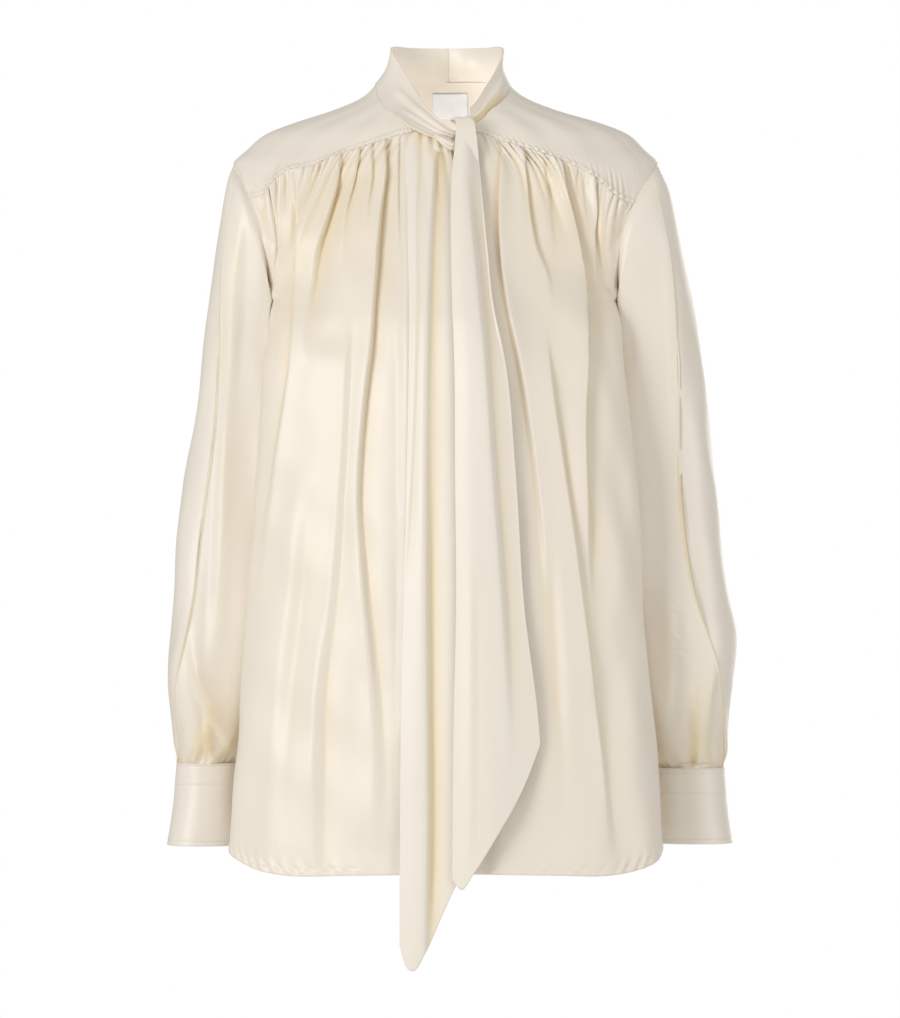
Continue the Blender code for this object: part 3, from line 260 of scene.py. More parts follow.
SLEEVE = table("""
    outer_right outer_left outer_z inner_x inner_z centre_y half_depth,
    199 199 -62 160 -195 4 56,
    200.4 201.7 -73.5 160 -197 4 56.6,
    202 207.7 -89 156.5 -203.5 6 57.2,
    206 212.7 -117 153.5 -215 8 57.5,
    212.2 218.7 -150 151 -231 11 57.5,
    217.8 226.2 -195 150 -252 15 57.2,
    224.3 234.7 -247 150 -280 18 57,
    232 242.2 -305 152 -322 22 56,
    242 248.6 -360 156 -368 24 56,
    249.5 254 -412 160 -416 24 56.5,
    253 259.8 -463 165 -464 23 57,
    256.5 268 -502 170 -502 21 57.5,
    260.7 265.8 -540 176 -540 19 55.2,
    256.7 262.8 -577 183 -577 16 50.5,
    252.2 259.8 -610 192 -610 13 43.6,
    251.8 258.8 -628 199 -628 11 39.9""")
SLEEVE_RADIUS = 0.032
SLEEVE_CORNER = 2.2  # angle of the sleeve's corner by the body's front
SLEEVE_CORNER_SPREAD = 0.6
SLEEVE_CORNER_FILL = 0.004
SLEEVE_GAP = -0.0004
SLEEVE_TUCK = 0.0034
SLEEVE_TURN_ROUNDED = 0.0012
SLEEVE_PRESSED_FROM = 0.035  # height above the underarm from which it lies on the body
SLEEVE_LONGER = {"right": 0.0, "left": 0.0045}
SLEEVE_RINGS_AT_CAP = 4
SLEEVE_SQUARED = 0.40
SLEEVE_LONGER_FROM = -0.30
SLEEVE_RIPPLE = 0.0005
SEAM_RADIUS = 0.045  # of the sleeve's outer side, along which the long seam runs
SEAM_DEPTH = 0.0010
# Width of the painted shade along the long seam of each sleeve.
SEAM_SHADE_WIDTH = 0.0006
LAST_RING = 15
# The seam down the outside of each sleeve, as an angle from the outer side by the front.
SLEEVE_SEAM = {
    "right": table("""
        ring angle, 0 .5, 3 .85, 5 1.02, 7 1.18, 9 1.2, 10 1.16, 11 1.08, 12 .92, 13 .66, 15 .33"""),
    "left": table("""
        ring angle, 0 .6, 3 .95, 5 1.15, 7 1.36, 8 1.46, 9 1.46, 10 1.4, 11 1.28, 12 .97, 13 .7,
        15 .33"""),
}
SLEEVE_SEAM_SHOWS_FROM = {"right": 4.6, "left": 7.2}  # above this ring the seam lies flat
SLEEVE_FOLDS = {
    "right": folds("""
        -1 1.6 3 12 14 0, -110 -188 0 8, -150 -190 1 8, -240 -196 .9 11, -340 -201 0 15;
        1 2.4 3.2 14 16 0, -260 -206 0 10, -340 -212 1 12, -470 -218 .8 14, -560 -224 0 15;
        1 3.2 4 12 13 0, -500 -242 0 8, -545 -236 1 8, -575 -225 1 8, -600 -212 .4 8,
          -615 -205 0 8;
        1 2 3 7 8 0, -560 -226 0 6, -590 -225 1 6, -622 -223 1 5"""),
    "left": folds("""
        1 1.2 1.4 13 15 0, -120 195 0 9, -180 202 1 10, -290 208 .8 12, -370 209 0 15;
        -1 1.2 1.4 10 12 .2, -300 213 0 5, -335 218.5 .8 4.5, -380 219 1 4.5, -440 229 .8 7,
          -520 240 .2 10, -560 244 0 12;
        -1 3 4.4 14 16 0, -450 214 0 12, -490 213 1 11, -540 212 .8 11, -590 208 0 12;
        1 3.6 5 10 12 0, -545 232 0 7, -585 230 .8 6, -622 230 1.2 4;
        -1 2.6 3.6 10 11 0, -540 236 0 7, -575 233 .8 7, -624 229 1.2 4;
        -1 2 3 11 12 0, -520 254 0 8, -560 248 1 8, -600 243 .5 8, -625 240 0 8"""),
}
# Gathers of a sleeve: pitch, depth, seed, reach and how narrow they are.
CUFF_GATHERS = (0.0088, 1.0, 31, (0.008, 0.026), (0.16, 0.26))
CAP_GATHERS = (0.014, 0.0012, 52, (0.008, 0.035), (0.20, 0.30))
SOFT_GATHERS = (0.030, 0.0030, 72, (0.15, 0.45), (0.20, 0.35))
CUFF_GATHER_DEPTH = {"right": 0.0046, "left": 0.0032}

CUFF = table("""
    outer_right outer_left inner_x z_right z_left centre_y half_depth,
    253.8 260.4 198.2 -626.2 -630.6 11 40.4,
    255.6 262.2 198.8 -653 -656 11 41.2,
    263.2 268.6 198.2 -703.5 -701.5 11 45""")
CUFF_ROWS = np.array([0.0, 0.33, 1.0])  # how far down the rows of CUFF are
CUFF_LAP = 0.30
CUFF_LAP_STEP = 0.0028
CUFF_OPENS_AT = 2.70
CUFF_SQUARE = 0.78
CUFF_ROUND = 0.22
CUFF_RADIUS = 0.034
CUFF_UNEVEN = 0.0004
CUFF_PUCKER = 0.00035
# Stitched lines of the cuffs: below the upper edge, or above the lower one if negative.
CUFF_STITCHES = {"right": (0.0018, 0.0190, -0.0048), "left": (0.0018, 0.0045, 0.0215, -0.0050)}

# ---------------------------------------------------------------- sizes of the neck

COLLAR = {
    "right": table("""
        part turn top_x top_y top_z, 0 1.571 1.7 44 47.8, .22 .9 -33 35.5 47.8, .38 .25 -50 13 47.4,
        .5 -.3 -52 -4 43, .66 -.8 -40 -22 22, .82 -1.16 -25.5 -42 -2, .9 -1.33 -18.5 -53 -12,
        .94 -1.38 -9 -63.5 -22.8, .97 -1.4 .5 -70.5 -31.8, 1 -1.42 9 -73.5 -37"""),
    "left": table("""
        part turn top_x top_y top_z, 0 1.571 1.7 44 47.8, .22 .9 35 35.5 47.8, .38 .25 50 13 47.4,
        .5 -.3 53 -3 42.5, .66 -.8 46 -20 24, .82 -1.12 35 -37 5.5, .92 -1.28 27.5 -47 -7,
        1 -1.37 22 -54 -14"""),
}
COLLAR_FREE = table("""
    part x y z, .8 -50 -59.5 -20, .85 -43.7 -62.5 -24, .9 -35 -67.5 -31.2, .94 -22.5 -72.8 -37.8,
    .97 -10 -76.2 -42.5, 1 3 -77 -46""")
# Pleats on the right half: where along it each starts, its height across the collar
# there and at the knot, its spread as a share and its depth.
COLLAR_PLEATS = table("""
    start from_up to_up spread deep, .62 .52 .8 .1 2.6, .74 .25 .6 .065 1.6, .86 .14 .4 .05 1.2,
    .88 .04 .18 .045 .9""")
CENTRE_BACK_X = 0.0017
COLLAR_BULGE = 0.0035
COLLAR_LENGTH = 0.17
COLLAR_HEIGHT = 0.045
COLLAR_DEEP_PLEAT = 0.0052  # the one pleat of the left half
COLLAR_FREE_FROM = 0.74  # part of the right half from which its lower edge hangs free
KNOT = table("""
    x y z height thick, -12 -73.5 -40.8 3 3.6, -6 -76.8 -44.5 5.6 5.2, -.5 -78.4 -48.2 8 6.6,
    4.5 -77.2 -50.5 8.8 6.2, 9.5 -75 -48 6.4 4.6""")
KNOT_THICKNESS = 0.0006
TIE_SIDES = {
    "right": table("""
        z near far, -36 -34 -2, -46 -37 1, -104 -36.9 12, -200 -35 18, -380 -37.5 26, -564 -42.1 30,
        -830 -43.5 31"""),
    "left": table("""
        z near far, -20 8 24.5, -46 7.5 27.9, -77 4.7 30.6, -151 3.7 37.7, -197 4.7 42.3,
        -250 6.6 53.2, -355 7.4 63.2, -472 8.3 70.5, -596 5.8 85.1, -740 4.6 86"""),
}
TIE_UPPER = {
    "right": table("share z, 0 -38, .15 -36, .45 -37.5, 1 -43"),
    "left": table("share z, 0 -40, 1 -40"),
}
TIE_LOWER = {
    "right": table("share z, 0 -788, .06 -803.5, .17 -811, .33 -793, .55 -756, .7 -732, 1 -683"),
    "left": table("share z, 0 -727, .1 -736.5, .25 -721, .5 -688, .8 -643, 1 -604"),
}
TIE_STAND_OFF = {
    "right": table("share off, 0 1, .2 4.6, .45 2.6, .7 3, 1 .6"),
    "left": table("share off, 0 6.8, .3 11, .6 10, .85 5, 1 2"),
}
TIE_FOLDS = {
    "right": folds("""
        1 .6 2.2 5 8 0, -50 -24 .2 4, -90 -27 .6 4, -200 -27 .8 5, -380 -33 .8 5, -470 -39 0 5;
        1 2 5.2 8 12 0, -60 -10 .8 5, -120 -13 .7 7, -300 -18 .6 8, -450 -18 .9 8, -720 -17 1 8,
          -800 -19 .5 8"""),
    "left": folds("""
        1 2.4 3.4 10 14 0, -70 19 0 6, -130 25 .8 7, -230 35 1 8, -360 44 1 9, -500 54 .9 10,
          -640 60 0 12;
        1 1.2 1.2 8 10 0, -420 24 0 8, -520 25 1 8, -680 24 .6 9, -730 24 0 9"""),
}
TIE_TURNOVER = table("y z, -68 -37, -67.5 -29, -71.5 -24, -76.5 -26.2, -80 -33.5")
TIE_CLEAR = 0.0022
TIE_FAN = (0.0018, 0.022, 3.5)  # fan beneath the knot: height, reach and number of pleats
TIE_DRAWN_IN = 0.0050
TIE_ROUNDED = 0.0032
TIE_WAVE = 0.0009
TIE_PINCHED = {"right": 0.35, "left": 1.0}
# Furthest back that the fronts' line behind a tie end may lie, and the tie end itself.
TIE_TOP_Y = {"right": (-0.0620, -0.0620), "left": (-0.0620, -0.0820)}
LABEL_SIZE = (0.034, 0.024)
LABEL_CENTRE = (0.003, -0.006)
LABEL_THICKNESS = 0.0005
LABEL_GAP = 0.0013
LABEL_WAVE = 0.0002

# ---------------------------------------------------------------- sizes of the studio

FLOOR_RADIUS = 2.8
FLOOR_CORNERS = 96
CAMERA_X = 0.0028
CAMERA_Z = -0.388
SENSOR_WIDTH = 36.0  # millimetres
SIGHT = 60.0  # how far the camera sees
BLOUSE_MIDDLE = (0.0, 0.0, -0.35)
INSIDE_NECK = (0.0, 0.05, 0.01)
LIGHTS = {  # where each stands, its width and height, and the point that it faces
    "key": ((-3.0, -3.6, 0.5), (1.8, 2.2), BLOUSE_MIDDLE),
    "fill": ((3.5, -2.9, -0.1), (1.6, 2.6), BLOUSE_MIDDLE),
    "neck": ((-0.014, -0.020, -0.130), (0.10, 0.06), INSIDE_NECK),
    "back": ((1.6, 4.4, 0.3), (2.0, 2.4), BLOUSE_MIDDLE),
}
LIGHT_COLOUR = (1.0, 0.985, 0.955, 1.0)
SEEN_COLOUR = (1.0, 1.0, 1.0, 1.0)

# ---------------------------------------------------------------- curves and surfaces


def follow(columns, key, name, at):
    """Column `name` at `at`: cubic (Hermite) curves through the rows of a table, with
    slopes taken from each row's neighbours."""
    keys, values = columns[key], columns[name]
    if keys[0] > keys[-1]:
        keys, values = keys[::-1], values[::-1]
    slopes = np.gradient(values, keys)
    at = np.clip(at, keys[0], keys[-1])
    i = np.clip(np.searchsorted(keys, at, side="right") - 1, 0, len(keys) - 2)
    span = keys[i + 1] - keys[i]
    t = (at - keys[i]) / span
    return (
        values[i] * (1 + 2 * t) * (1 - t) ** 2
        + values[i + 1] * (3 - 2 * t) * t**2
        + span * (slopes[i] * t * (1 - t) ** 2 - slopes[i + 1] * (1 - t) * t**2)
    )


def path_at(columns, at, names="xyz"):
    """Points along the path of a table with a column `part`."""
    return np.stack([follow(columns, "part", name, at) for name in names], axis=-1)


def ease(x):
    """Rises from 0 at x = 0 to 1 at x = 1 as three x squared less two x cubed."""
    x = np.clip(x, 0, 1)
    return x * x * (3 - 2 * x)


def signed_power(x, p):
    """The size of x raised to p, with the sign of x."""
    return np.sign(x) * np.abs(x) ** p


def bell(x):
    """One at x = 0, falling away on both sides as e to the minus x squared."""
    return np.exp(-(x**2))


def shade(height, full, most=1.0):
    """How much painted shade a valley gets: its depth as a share of a full one's, up to the most."""
    return np.clip(-height / full, 0, most)


def runs(first, *ends):
    """Values from `first` on, in runs of (end, steps), each run evenly spaced."""
    values = [np.array([first])]
    for end, steps in ends:
        values.append(np.linspace(values[-1][-1], end, steps + 1)[1:])
    return np.concatenate(values)


def unit(vectors):
    """Vectors divided by their length."""
    return vectors / np.linalg.norm(vectors, axis=-1, keepdims=True)


def normals_of(place, ring=False):
    """Normals of a grid: the unit cross product of its steps down and across. On a ring
    the last column comes before the first."""
    if ring:
        place = np.concatenate([place[:, -1:], place, place[:, :1]], axis=1)
    normal = unit(np.cross(np.gradient(place, axis=0), np.gradient(place, axis=1)))
    return normal[:, 1:-1] if ring else normal


def length_along(path):
    """Length from the first point along a path, or down each column of a grid."""
    return np.cumsum(np.linalg.norm(np.diff(path, axis=0, prepend=path[:1]), axis=-1), axis=0)


# ---------------------------------------------------------------- the body's form


def at_height(name, z):
    """A column of the body's table at height z."""
    return follow(BODY, "z", name, z)


def armhole_angle(z):
    """Angle round the armhole at height z: the arc cosine of its share of the half height."""
    return np.arccos(np.clip((z - ARMHOLE_MIDDLE) / ARMHOLE_HALF_HEIGHT, -1, 1))


def armhole_x(z, back):
    """Distance of the armhole seam from the centre line at height z, from its table."""
    return np.where(back, follow(ARMHOLE, "z", "back", z), follow(ARMHOLE, "z", "front", z))


def depth_of_half(z, behind):
    """How far the section at height z reaches behind or in front of its widest line."""
    widest = at_height("widest_y", z)
    return np.where(behind, at_height("back_y", z) - widest, widest - at_height("front_y", z))


def turn_for_y(y, z):
    """Turn at which the section at height z has this y: the arc sine of the signed power
    of y's share of the section's depth."""
    rest = y - at_height("widest_y", z)
    share = np.clip(rest / depth_of_half(z, rest > 0), -0.999, 0.999)
    return np.arcsin(signed_power(share, at_height("round", z) / 2))


def armhole_turn(z, back):
    """Turn at which the armhole seam, an ellipse from the side, crosses height z."""
    reach = ARMHOLE_HALF_DEPTH * np.sin(armhole_angle(z))
    return turn_for_y(ARMHOLE_CENTRE_Y + np.where(back, reach, -reach), z)


def section_x(turn, z, back):
    """Half width of the section at height z, at a turn: the half width times the cosine
    raised to two over the roundness, drawn in or out beside the armhole so that it passes
    through the seam, less a bell-shaped dent beneath the arm."""
    c, s = np.cos(turn), np.sin(turn)
    power = 2 / at_height("round", z)
    half_width = at_height("half_width", z)
    seam = armhole_turn(np.clip(z, ARMHOLE_BOTTOM, ARMHOLE_TOP), back)
    short = armhole_x(z, back) - half_width * np.cos(seam) ** power
    beside = (z < ARMHOLE_TOP) & (z > ARMHOLE_BOTTOM)
    around = np.arcsin(s)
    near = bell((around - seam) / ARMHOLE_SPREAD) * c / np.cos(seam)
    dent = at_height("dent", z) * bell((around - DENT_TURN) / DENT_SPREAD)
    return half_width * signed_power(c, power) + short * near * beside - dent * c


def body(turn, z, side, back=False):
    """Point of the body: x from section_x, and y the depth of that half times the sine
    raised to two over the roundness, at height z."""
    turn, z = np.broadcast_arrays(np.asarray(turn, float), np.asarray(z, float))
    s = np.sin(turn)
    deep = depth_of_half(z, s > 0) * signed_power(s, 2 / at_height("round", z))
    x = at_height("lean", z) + side * section_x(turn, z, back)
    return np.stack([x, at_height("widest_y", z) + deep, z], axis=-1)


def body_frame(turn, z, side, back=False):
    """Outward normal and a level direction along the body, by small steps along and down
    it. Round the underarm, where the sections change fast, the wall is taken as upright."""
    d_turn, d_z = 0.004, 0.0015
    across = body(turn + d_turn, z, side, back) - body(turn - d_turn, z, side, back)
    up = body(turn, z + d_z, side, back) - body(turn, z - d_z, side, back)
    side = np.asarray(side)[..., None]
    normal = side * np.cross(across, up)
    normal[..., 2] *= ease((np.abs(z - ARMHOLE_BOTTOM) - 0.015) / 0.025)
    return unit(normal), unit(across) * side


def back_half(turn, z, share):
    """Body points, normals and level directions of the back half, to the wearer's right
    where share is negative and to the left elsewhere. The directions all run to +X."""
    side = np.where(share < 0, -1, 1)
    normal, level_way = body_frame(turn, z, side, True)
    return body(turn, z, side, True), normal, -level_way


def turn_at(x, z, back=False):
    """Turn, on the front or back half, at which the section at height z is x from its
    centre line, found by halving the interval."""
    sign = 1 if back else -1
    x, z = np.broadcast_arrays(np.asarray(x, float), np.asarray(z, float))
    inner, outer = np.full(x.shape, PAST_CENTRE), np.zeros(x.shape)
    for _ in range(30):
        middle = (inner + outer) / 2
        short = section_x(sign * middle, z, back) < x
        inner, outer = np.where(short, middle, inner), np.where(short, outer, middle)
    return sign * (inner + outer) / 2


def side_turn(z, back):
    """Turn of a panel's side edge: the armhole seam, and below it the side seam."""
    beside = armhole_turn(np.maximum(z, ARMHOLE_BOTTOM), back)
    low = armhole_turn(np.float64(ARMHOLE_BOTTOM), back)
    below = low + (SIDE_SEAM_TURN - low) * ease((ARMHOLE_BOTTOM - z) / 0.05)
    return np.where(z > ARMHOLE_BOTTOM, beside, below)


# ---------------------------------------------------------------- folds and gathers


def hand_folds(laid, x, z):
    """Height, sideways shift and painted crease shade of folds at x, z. Across its line each
    fold is a bell-shaped ridge that eases over a steep face into a bell-shaped trough.
    The shift moves the ridge over the trough, so that a strong fold overhangs. The painted
    crease shade is a narrow bell at the foot of the steep face."""
    height, shift, crease_shade = np.zeros((3, *x.shape))
    for one in laid:
        top, bottom = one["z"][0] + FOLD_ENDS, one["z"][-1] - FOLD_ENDS
        share, face = (np.interp(-z, -one["z"], one[name]) for name in ("share", "face"))
        share = share * (z < top) * (z > bottom)
        off = (x - follow(one, "z", "x", z)) * one["side"]
        down = ease(off / face + 0.5)
        rise = bell(np.minimum(off, 0) / one["ridge_wide"]) * (1 - down)
        fall = bell(np.maximum(off, 0) / one["trough_wide"]) * down
        height += share * (one["ridge"] * rise - one["trough"] * fall)
        shift += share * one["side"] * one["lean"] * (rise - fall)
        # Painted crease shade: a narrow dark band at the foot of the steep face, stronger for a narrow face
        # and a deep trough.
        foot = bell((off - face / 2) / (CREASE_SHADE_WIDTH + face * CREASE_SHADE_WIDENS))
        sharp = np.minimum(SHARP_FACE / face, 1.3)
        crease_shade += share * foot * one["trough"] * sharp / FULL_TROUGH
    return height, shift, crease_shade


def hollows(rows, x, z):
    """Height of soft hollows: minus each one's depth times a bell across and down."""
    height = np.zeros(x.shape)
    for at_x, at_z, wide, high, deep in zip(*rows.values()):
        height -= deep * bell((x - at_x) / wide) * bell((z - at_z) / high)
    return height


def gathers(along, drop, length, pitch, depth, seed, reach, narrow):
    """Height of gathers below a seam: pinched valleys, each one over one plus the square
    of the distance from its line, dying away exponentially down the cloth. Their places,
    depths and lengths vary, and bells as wide as the gaps lift the cloth between them."""
    vary = np.random.default_rng(seed)
    below = np.maximum(drop, 0)
    height, place = np.zeros(np.broadcast(along, drop).shape), 0.0
    while place < length:
        step = pitch * vary.uniform(*GATHER_STEPS)
        wide = pitch * vary.uniform(*narrow)
        lean, far = vary.uniform(-GATHER_LEAN, GATHER_LEAN), vary.uniform(*reach)
        deep = depth * vary.uniform(*GATHER_DEPTHS)
        off = along - place - lean * below
        valley = 1 / (1 + (off / (wide * (1 + below / GATHER_OPENS_IN))) ** 2)
        lift = GATHER_PROUD * bell(off / pitch / GATHER_BETWEEN)
        height += deep * np.exp(-below / far) * (lift - valley)
        place += step
    return height


def seam_gathers(along, drop, length, sizes, seed):
    """Gathers below the yoke: deep ones that run down into the cloth, between them fine
    pinches that die away close to the seam, and wide soft ones that run on far below.
    Gives the height and the painted shade in the gathers' valleys."""
    pitch, depth = sizes.gather_pitch, sizes.gather_depth
    deep, fine, soft = (
        gathers(along, drop, length, pitch * apart, depth * high, seed + more, reach, narrow)
        for apart, high, more, reach, narrow in SEAM_GATHERS
    )
    # Painted shade in the valleys of the deep and fine gathers, and a little in the soft ones.
    pinch_shade = shade(deep + fine, FULL_DEPTH["gather"], 1.3)
    return deep + fine + soft, pinch_shade + 0.12 * shade(soft, FULL_DEPTH["soft"])


def ripples(across, down, seed, height):
    """Slight waves all over the cloth: five sines of the distances across and down, each
    with its own direction and length, as high as its length allows."""
    vary = np.random.default_rng(seed + 300)
    total = 0.0
    for _ in range(5):
        length, heading = vary.uniform(*RIPPLE_LENGTHS), vary.uniform(-1.0, 1.0)
        way = across * np.cos(heading) + down * np.sin(heading) * RIPPLE_STRETCH
        total = total + length / RIPPLE_FULL * np.sin(ROUND * way / length + vary.uniform(0, 6))
    return height * total


def short_waves(run, seed, shortest, longest, count=6, even=False):
    """Puckers along a seam: sines of the run added up, each with its own length and
    phase, and its own height unless they are even."""
    vary = np.random.default_rng(seed)
    total = 0.0
    for _ in range(count):
        height = 1.0 if even else vary.uniform(0.5, 1.0)
        length = vary.uniform(shortest, longest)
        total = total + height * np.sin(ROUND * run / length + vary.uniform(0, 6))
    return total


def clear_of_side(share, z):
    """0 at a panel's side and 1 further in, which is sooner beside the armhole than
    beneath the arm, where the sleeve lies on the panel."""
    return ease(share / (0.02 + 0.28 * ease((-0.13 - z) / 0.05)))


def rolled_in(distance, radius=0.0007):
    """How far the cloth turns in at a seam: a quarter circle of this radius."""
    inside = np.clip(1 - distance / radius, 0, 1)
    return -radius * (1 - np.sqrt(1 - inside**2))


def seam_groove(distance, depth=0.0005, wide=0.0008):
    """A narrow bell-shaped groove along a stitched line."""
    return -depth * bell(distance / wide)


def hem_relief(above, along_hem, seed):
    """Relief of the narrow turned hem: it stands proud up to its stitched line,
    where there is a groove, and it puckers in short slanting waves."""
    waves = short_waves(along_hem + 0.5 * above, seed, *HEM_WAVES) / 3
    proud = HEM_PROUD * (1 - ease((above - HEM_DEPTH) / 0.0008))
    near = bell((above - HEM_DEPTH * 0.8) / HEM_PUCKER_SPREAD)
    return proud + seam_groove(above - HEM_DEPTH, wide=0.0007) + HEM_PUCKER * waves * near


# ---------------------------------------------------------------- panels


def panel_rows(*ends):
    """Levels down a panel, and how far above its top edge its first rows carry on."""
    level = np.concatenate([np.zeros(len(TUCKED_ROWS)), runs(0.0, *ends)])[:, None]
    rise = np.zeros(level.shape)
    rise[: len(TUCKED_ROWS), 0] = TUCKED_ROWS
    return level, rise


def panel_heights(level, top, hem, side_top, from_side):
    """Height at each level: 0 is the top edge, 1 the underarm and 2 the hem. At the side
    the rows follow the armhole's angle, and further in they are spaced evenly."""
    first = armhole_angle(side_top)
    upper = np.clip(level, 0, 1)
    down = (np.cos(first) - np.cos(first + (np.pi - first) * upper)) / (np.cos(first) + 1)
    down = down + (upper - down) * ease(from_side / EVEN_ROWS_FROM)
    above = top + (ARMHOLE_BOTTOM - top) * down
    return np.where(level < 1, above, ARMHOLE_BOTTOM + (hem - ARMHOLE_BOTTOM) * (level - 1))


def gathered_panel(frame_at, drop, above_hem, run, edge, laid, free, clear, waves, sizes):
    """A front or the back from its points and directions on the body. Height off the body
    is the listed folds and the gathers below the yoke, less the tuck beneath the
    yoke's edge and the turn-in at the side, plus the turned-up hem and its puckers."""
    (place, normal, level_way), (seed, hem_seed, length, ripple, extra) = frame_at, waves
    height, shift, crease_shade = hand_folds(laid, place[..., 0], place[..., 2])
    height = height * free * sizes.fold_height
    gathered, pinch_shade = seam_gathers(run, drop, length, sizes, seed)
    # Painted shade along the folds' creases, in their troughs and in the gathers' valleys.
    hollow = crease_shade * free + 0.28 * shade(height, FULL_DEPTH["panel"]) + pinch_shade * clear
    soft = ripples(run, drop, seed, ripple) * ease(drop / 0.03)
    height = (height + (gathered + soft) * clear) * ease((drop + 0.0006) / 0.0020)
    tucked = -YOKE_TUCK * (1 - ease((drop + 0.0014) / 0.0026))
    height = height + tucked + rolled_in(edge) + hem_relief(above_hem, run, hem_seed + 40) + extra
    place = place + normal * height[..., None] + level_way * (shift * free)[..., None]
    return place, run + 0 * drop, drop, hollow * ease(drop / 0.001)


def front_edge(name, share):
    """Turn and height of a front's top edge at shares from the armhole to centre front."""
    edge = TOP_EDGE[name]
    steps = np.hypot(np.diff(edge["x"]), np.diff(edge["z"]))
    edge = edge | {"part": np.concatenate([[0], np.cumsum(steps) / steps.sum()])}
    x, z = np.moveaxis(path_at(edge, share, "xz"), -1, 0)
    turn = turn_at(np.abs(x) - SIDES[name] * at_height("lean", z), z)
    at_arm = armhole_turn(z[..., :1], False)
    return at_arm + (turn - at_arm) * ease(share / 0.06), z


def front_place(name, share, level):
    """Turn, height, top edge and hem height at shares across (0 side, 1 centre front) and
    levels down a front: straight between its side edge and its lapped edge, shifted near
    the top so that the first row is the yoke seam."""
    side = SIDES[name]
    top_turn, top_z = front_edge(name, share)
    hem_z = follow(HEM, "turn", "front", SIDE_SEAM_TURN + (-np.pi / 2 - SIDE_SEAM_TURN) * share)
    z = panel_heights(level, top_z, hem_z, top_z[0, 0], share)

    def straight(at_z):
        edge = follow(LAP, "z", "over" if side < 0 else "under", at_z)
        last = turn_at(side * edge - side * at_height("lean", at_z), at_z)
        first = side_turn(at_z[:, :1], False)
        return first + (last - first) * share, last

    top_straight, top_last = straight(top_z)
    shift = top_turn - top_straight
    shift = shift + (top_last - top_turn) * ease((share - LAST_SHARE) / (1 - LAST_SHARE))
    return straight(z)[0] + shift * (1 - ease((top_z - z) / TOP_EDGE_REACH)), z, top_z, hem_z


def front_surface(name, sizes):
    """A front as a grid: a gathered panel with soft hollows. The left one drops where it
    goes behind the right one."""
    side = SIDES[name]
    share = runs(0.0, (0.012, 6), (0.985, 228), (1.0, 4))[None]
    level, rise = panel_rows((0.42, 38), (1.0, 24), (1.978, 84), (2.0, 10))
    turn, z, top_z, hem_z = front_place(name, share, level)
    z = z + rise
    frame_at = body(turn, z, side), *body_frame(turn, z, side)
    x, run = frame_at[0][..., 0], share * FRONT_WIDTH
    beside_tie = ease((side * x - FLAT_UNDER_TIE[name]) / 0.012)
    extra = hollows(FRONT_HOLLOWS[name], x, z)
    if side > 0:
        from_lap = side * x - follow(LAP, "z", "over", z)
        extra = extra - LAP_STEP * (1 - ease((from_lap - 0.004) / LAP_EASES_OVER))
    seed = FRONT_SEED[name]
    return gathered_panel(
        frame_at, top_z - z, z - hem_z, run, run, FRONT_FOLDS[name],
        beside_tie * ease(share / FLAT_AT_SIDE), beside_tie * clear_of_side(share, z),
        (seed, seed, FRONT_WIDTH * 0.9, RIPPLE_HEIGHT["front"], extra), sizes,
    )


def back_place(share, level):
    """Turn, height, top edge and hem height at shares across the back (-1 wearer's right
    side seam, 0 centre back, 1 left side seam) and levels down it."""
    from_centre = np.abs(share)
    top_z = follow(BACK_TOP, "turn", "z", np.pi / 2 * (1 - from_centre))
    hem_z = follow(HEM, "turn", "back", np.pi / 2 + (SIDE_SEAM_TURN - np.pi / 2) * from_centre)
    side_top = follow(BACK_TOP, "turn", "z", 0.0)
    side_hem = follow(HEM, "turn", "back", SIDE_SEAM_TURN)
    z = panel_heights(level, top_z, hem_z, side_top, 1 - from_centre)
    first = side_turn(panel_heights(level, side_top, side_hem, side_top, 0.0), True)
    return np.pi / 2 + (first - np.pi / 2) * from_centre, z, top_z, hem_z


def back_surface(sizes):
    """The back as a grid: a gathered panel from side to side."""
    half = runs(0.0, (0.988, 132), (1.0, 6))
    share = np.concatenate([-half[:0:-1], half])[None]
    level, rise = panel_rows((0.45, 30), (1.0, 20), (1.978, 66), (2.0, 8))
    turn, z, top_z, hem_z = back_place(share, level)
    z = z + rise
    from_side = 1 - np.abs(share)
    return gathered_panel(
        back_half(turn, z, share), top_z - z, z - hem_z, (share + 1) * BACK_HALF_WIDTH,
        from_side * BACK_HALF_WIDTH, BACK_FOLDS, ease(from_side / FLAT_AT_SIDE),
        clear_of_side(from_side, z),
        (*BACK_SEEDS, 2 * BACK_HALF_WIDTH, RIPPLE_HEIGHT["back"], 0.0), sizes,
    )


# ---------------------------------------------------------------- yoke


def yoke_edges(name):
    """Outer and inner edge of half the yoke as turns and heights, from its point at the
    front neck, down the front seam, up round the armhole and along the back seam, and
    where the outer edge is gathered."""
    front, arm, back = YOKE_COLUMNS
    share = np.linspace(YOKE_FRONT_SHARE, 0, front)
    front_turn, front_z = front_edge(name, share[None, ::-1])
    front_end = -float(armhole_angle(front_z[0, 0]))
    back_end = float(armhole_angle(follow(BACK_TOP, "turn", "z", 0.0)))
    over = np.linspace(front_end, back_end, arm + 2)[1:-1]
    arm_z = ARMHOLE_MIDDLE + ARMHOLE_HALF_HEIGHT * np.cos(over)
    back_turn, back_z, _, _ = back_place(np.linspace(1, 0, back)[None], np.zeros((1, 1)))
    outer_turn = np.concatenate([front_turn[0, ::-1], armhole_turn(arm_z, over > 0), back_turn[0]])
    outer_z = np.concatenate([front_z[0, ::-1], arm_z, back_z[0]])
    inner_turn = np.concatenate([
        np.linspace(YOKE_FRONT_TURN[name], -YOKE_ARM_TURN, front),
        np.linspace(-YOKE_ARM_TURN, YOKE_ARM_TURN, arm + 2)[1:-1],
        np.linspace(YOKE_ARM_TURN, np.pi / 2, back),
    ])
    gathered = np.repeat([True, False, True], YOKE_COLUMNS)
    return outer_turn, outer_z, inner_turn, follow(NECKLINE, "turn", name, inner_turn), gathered


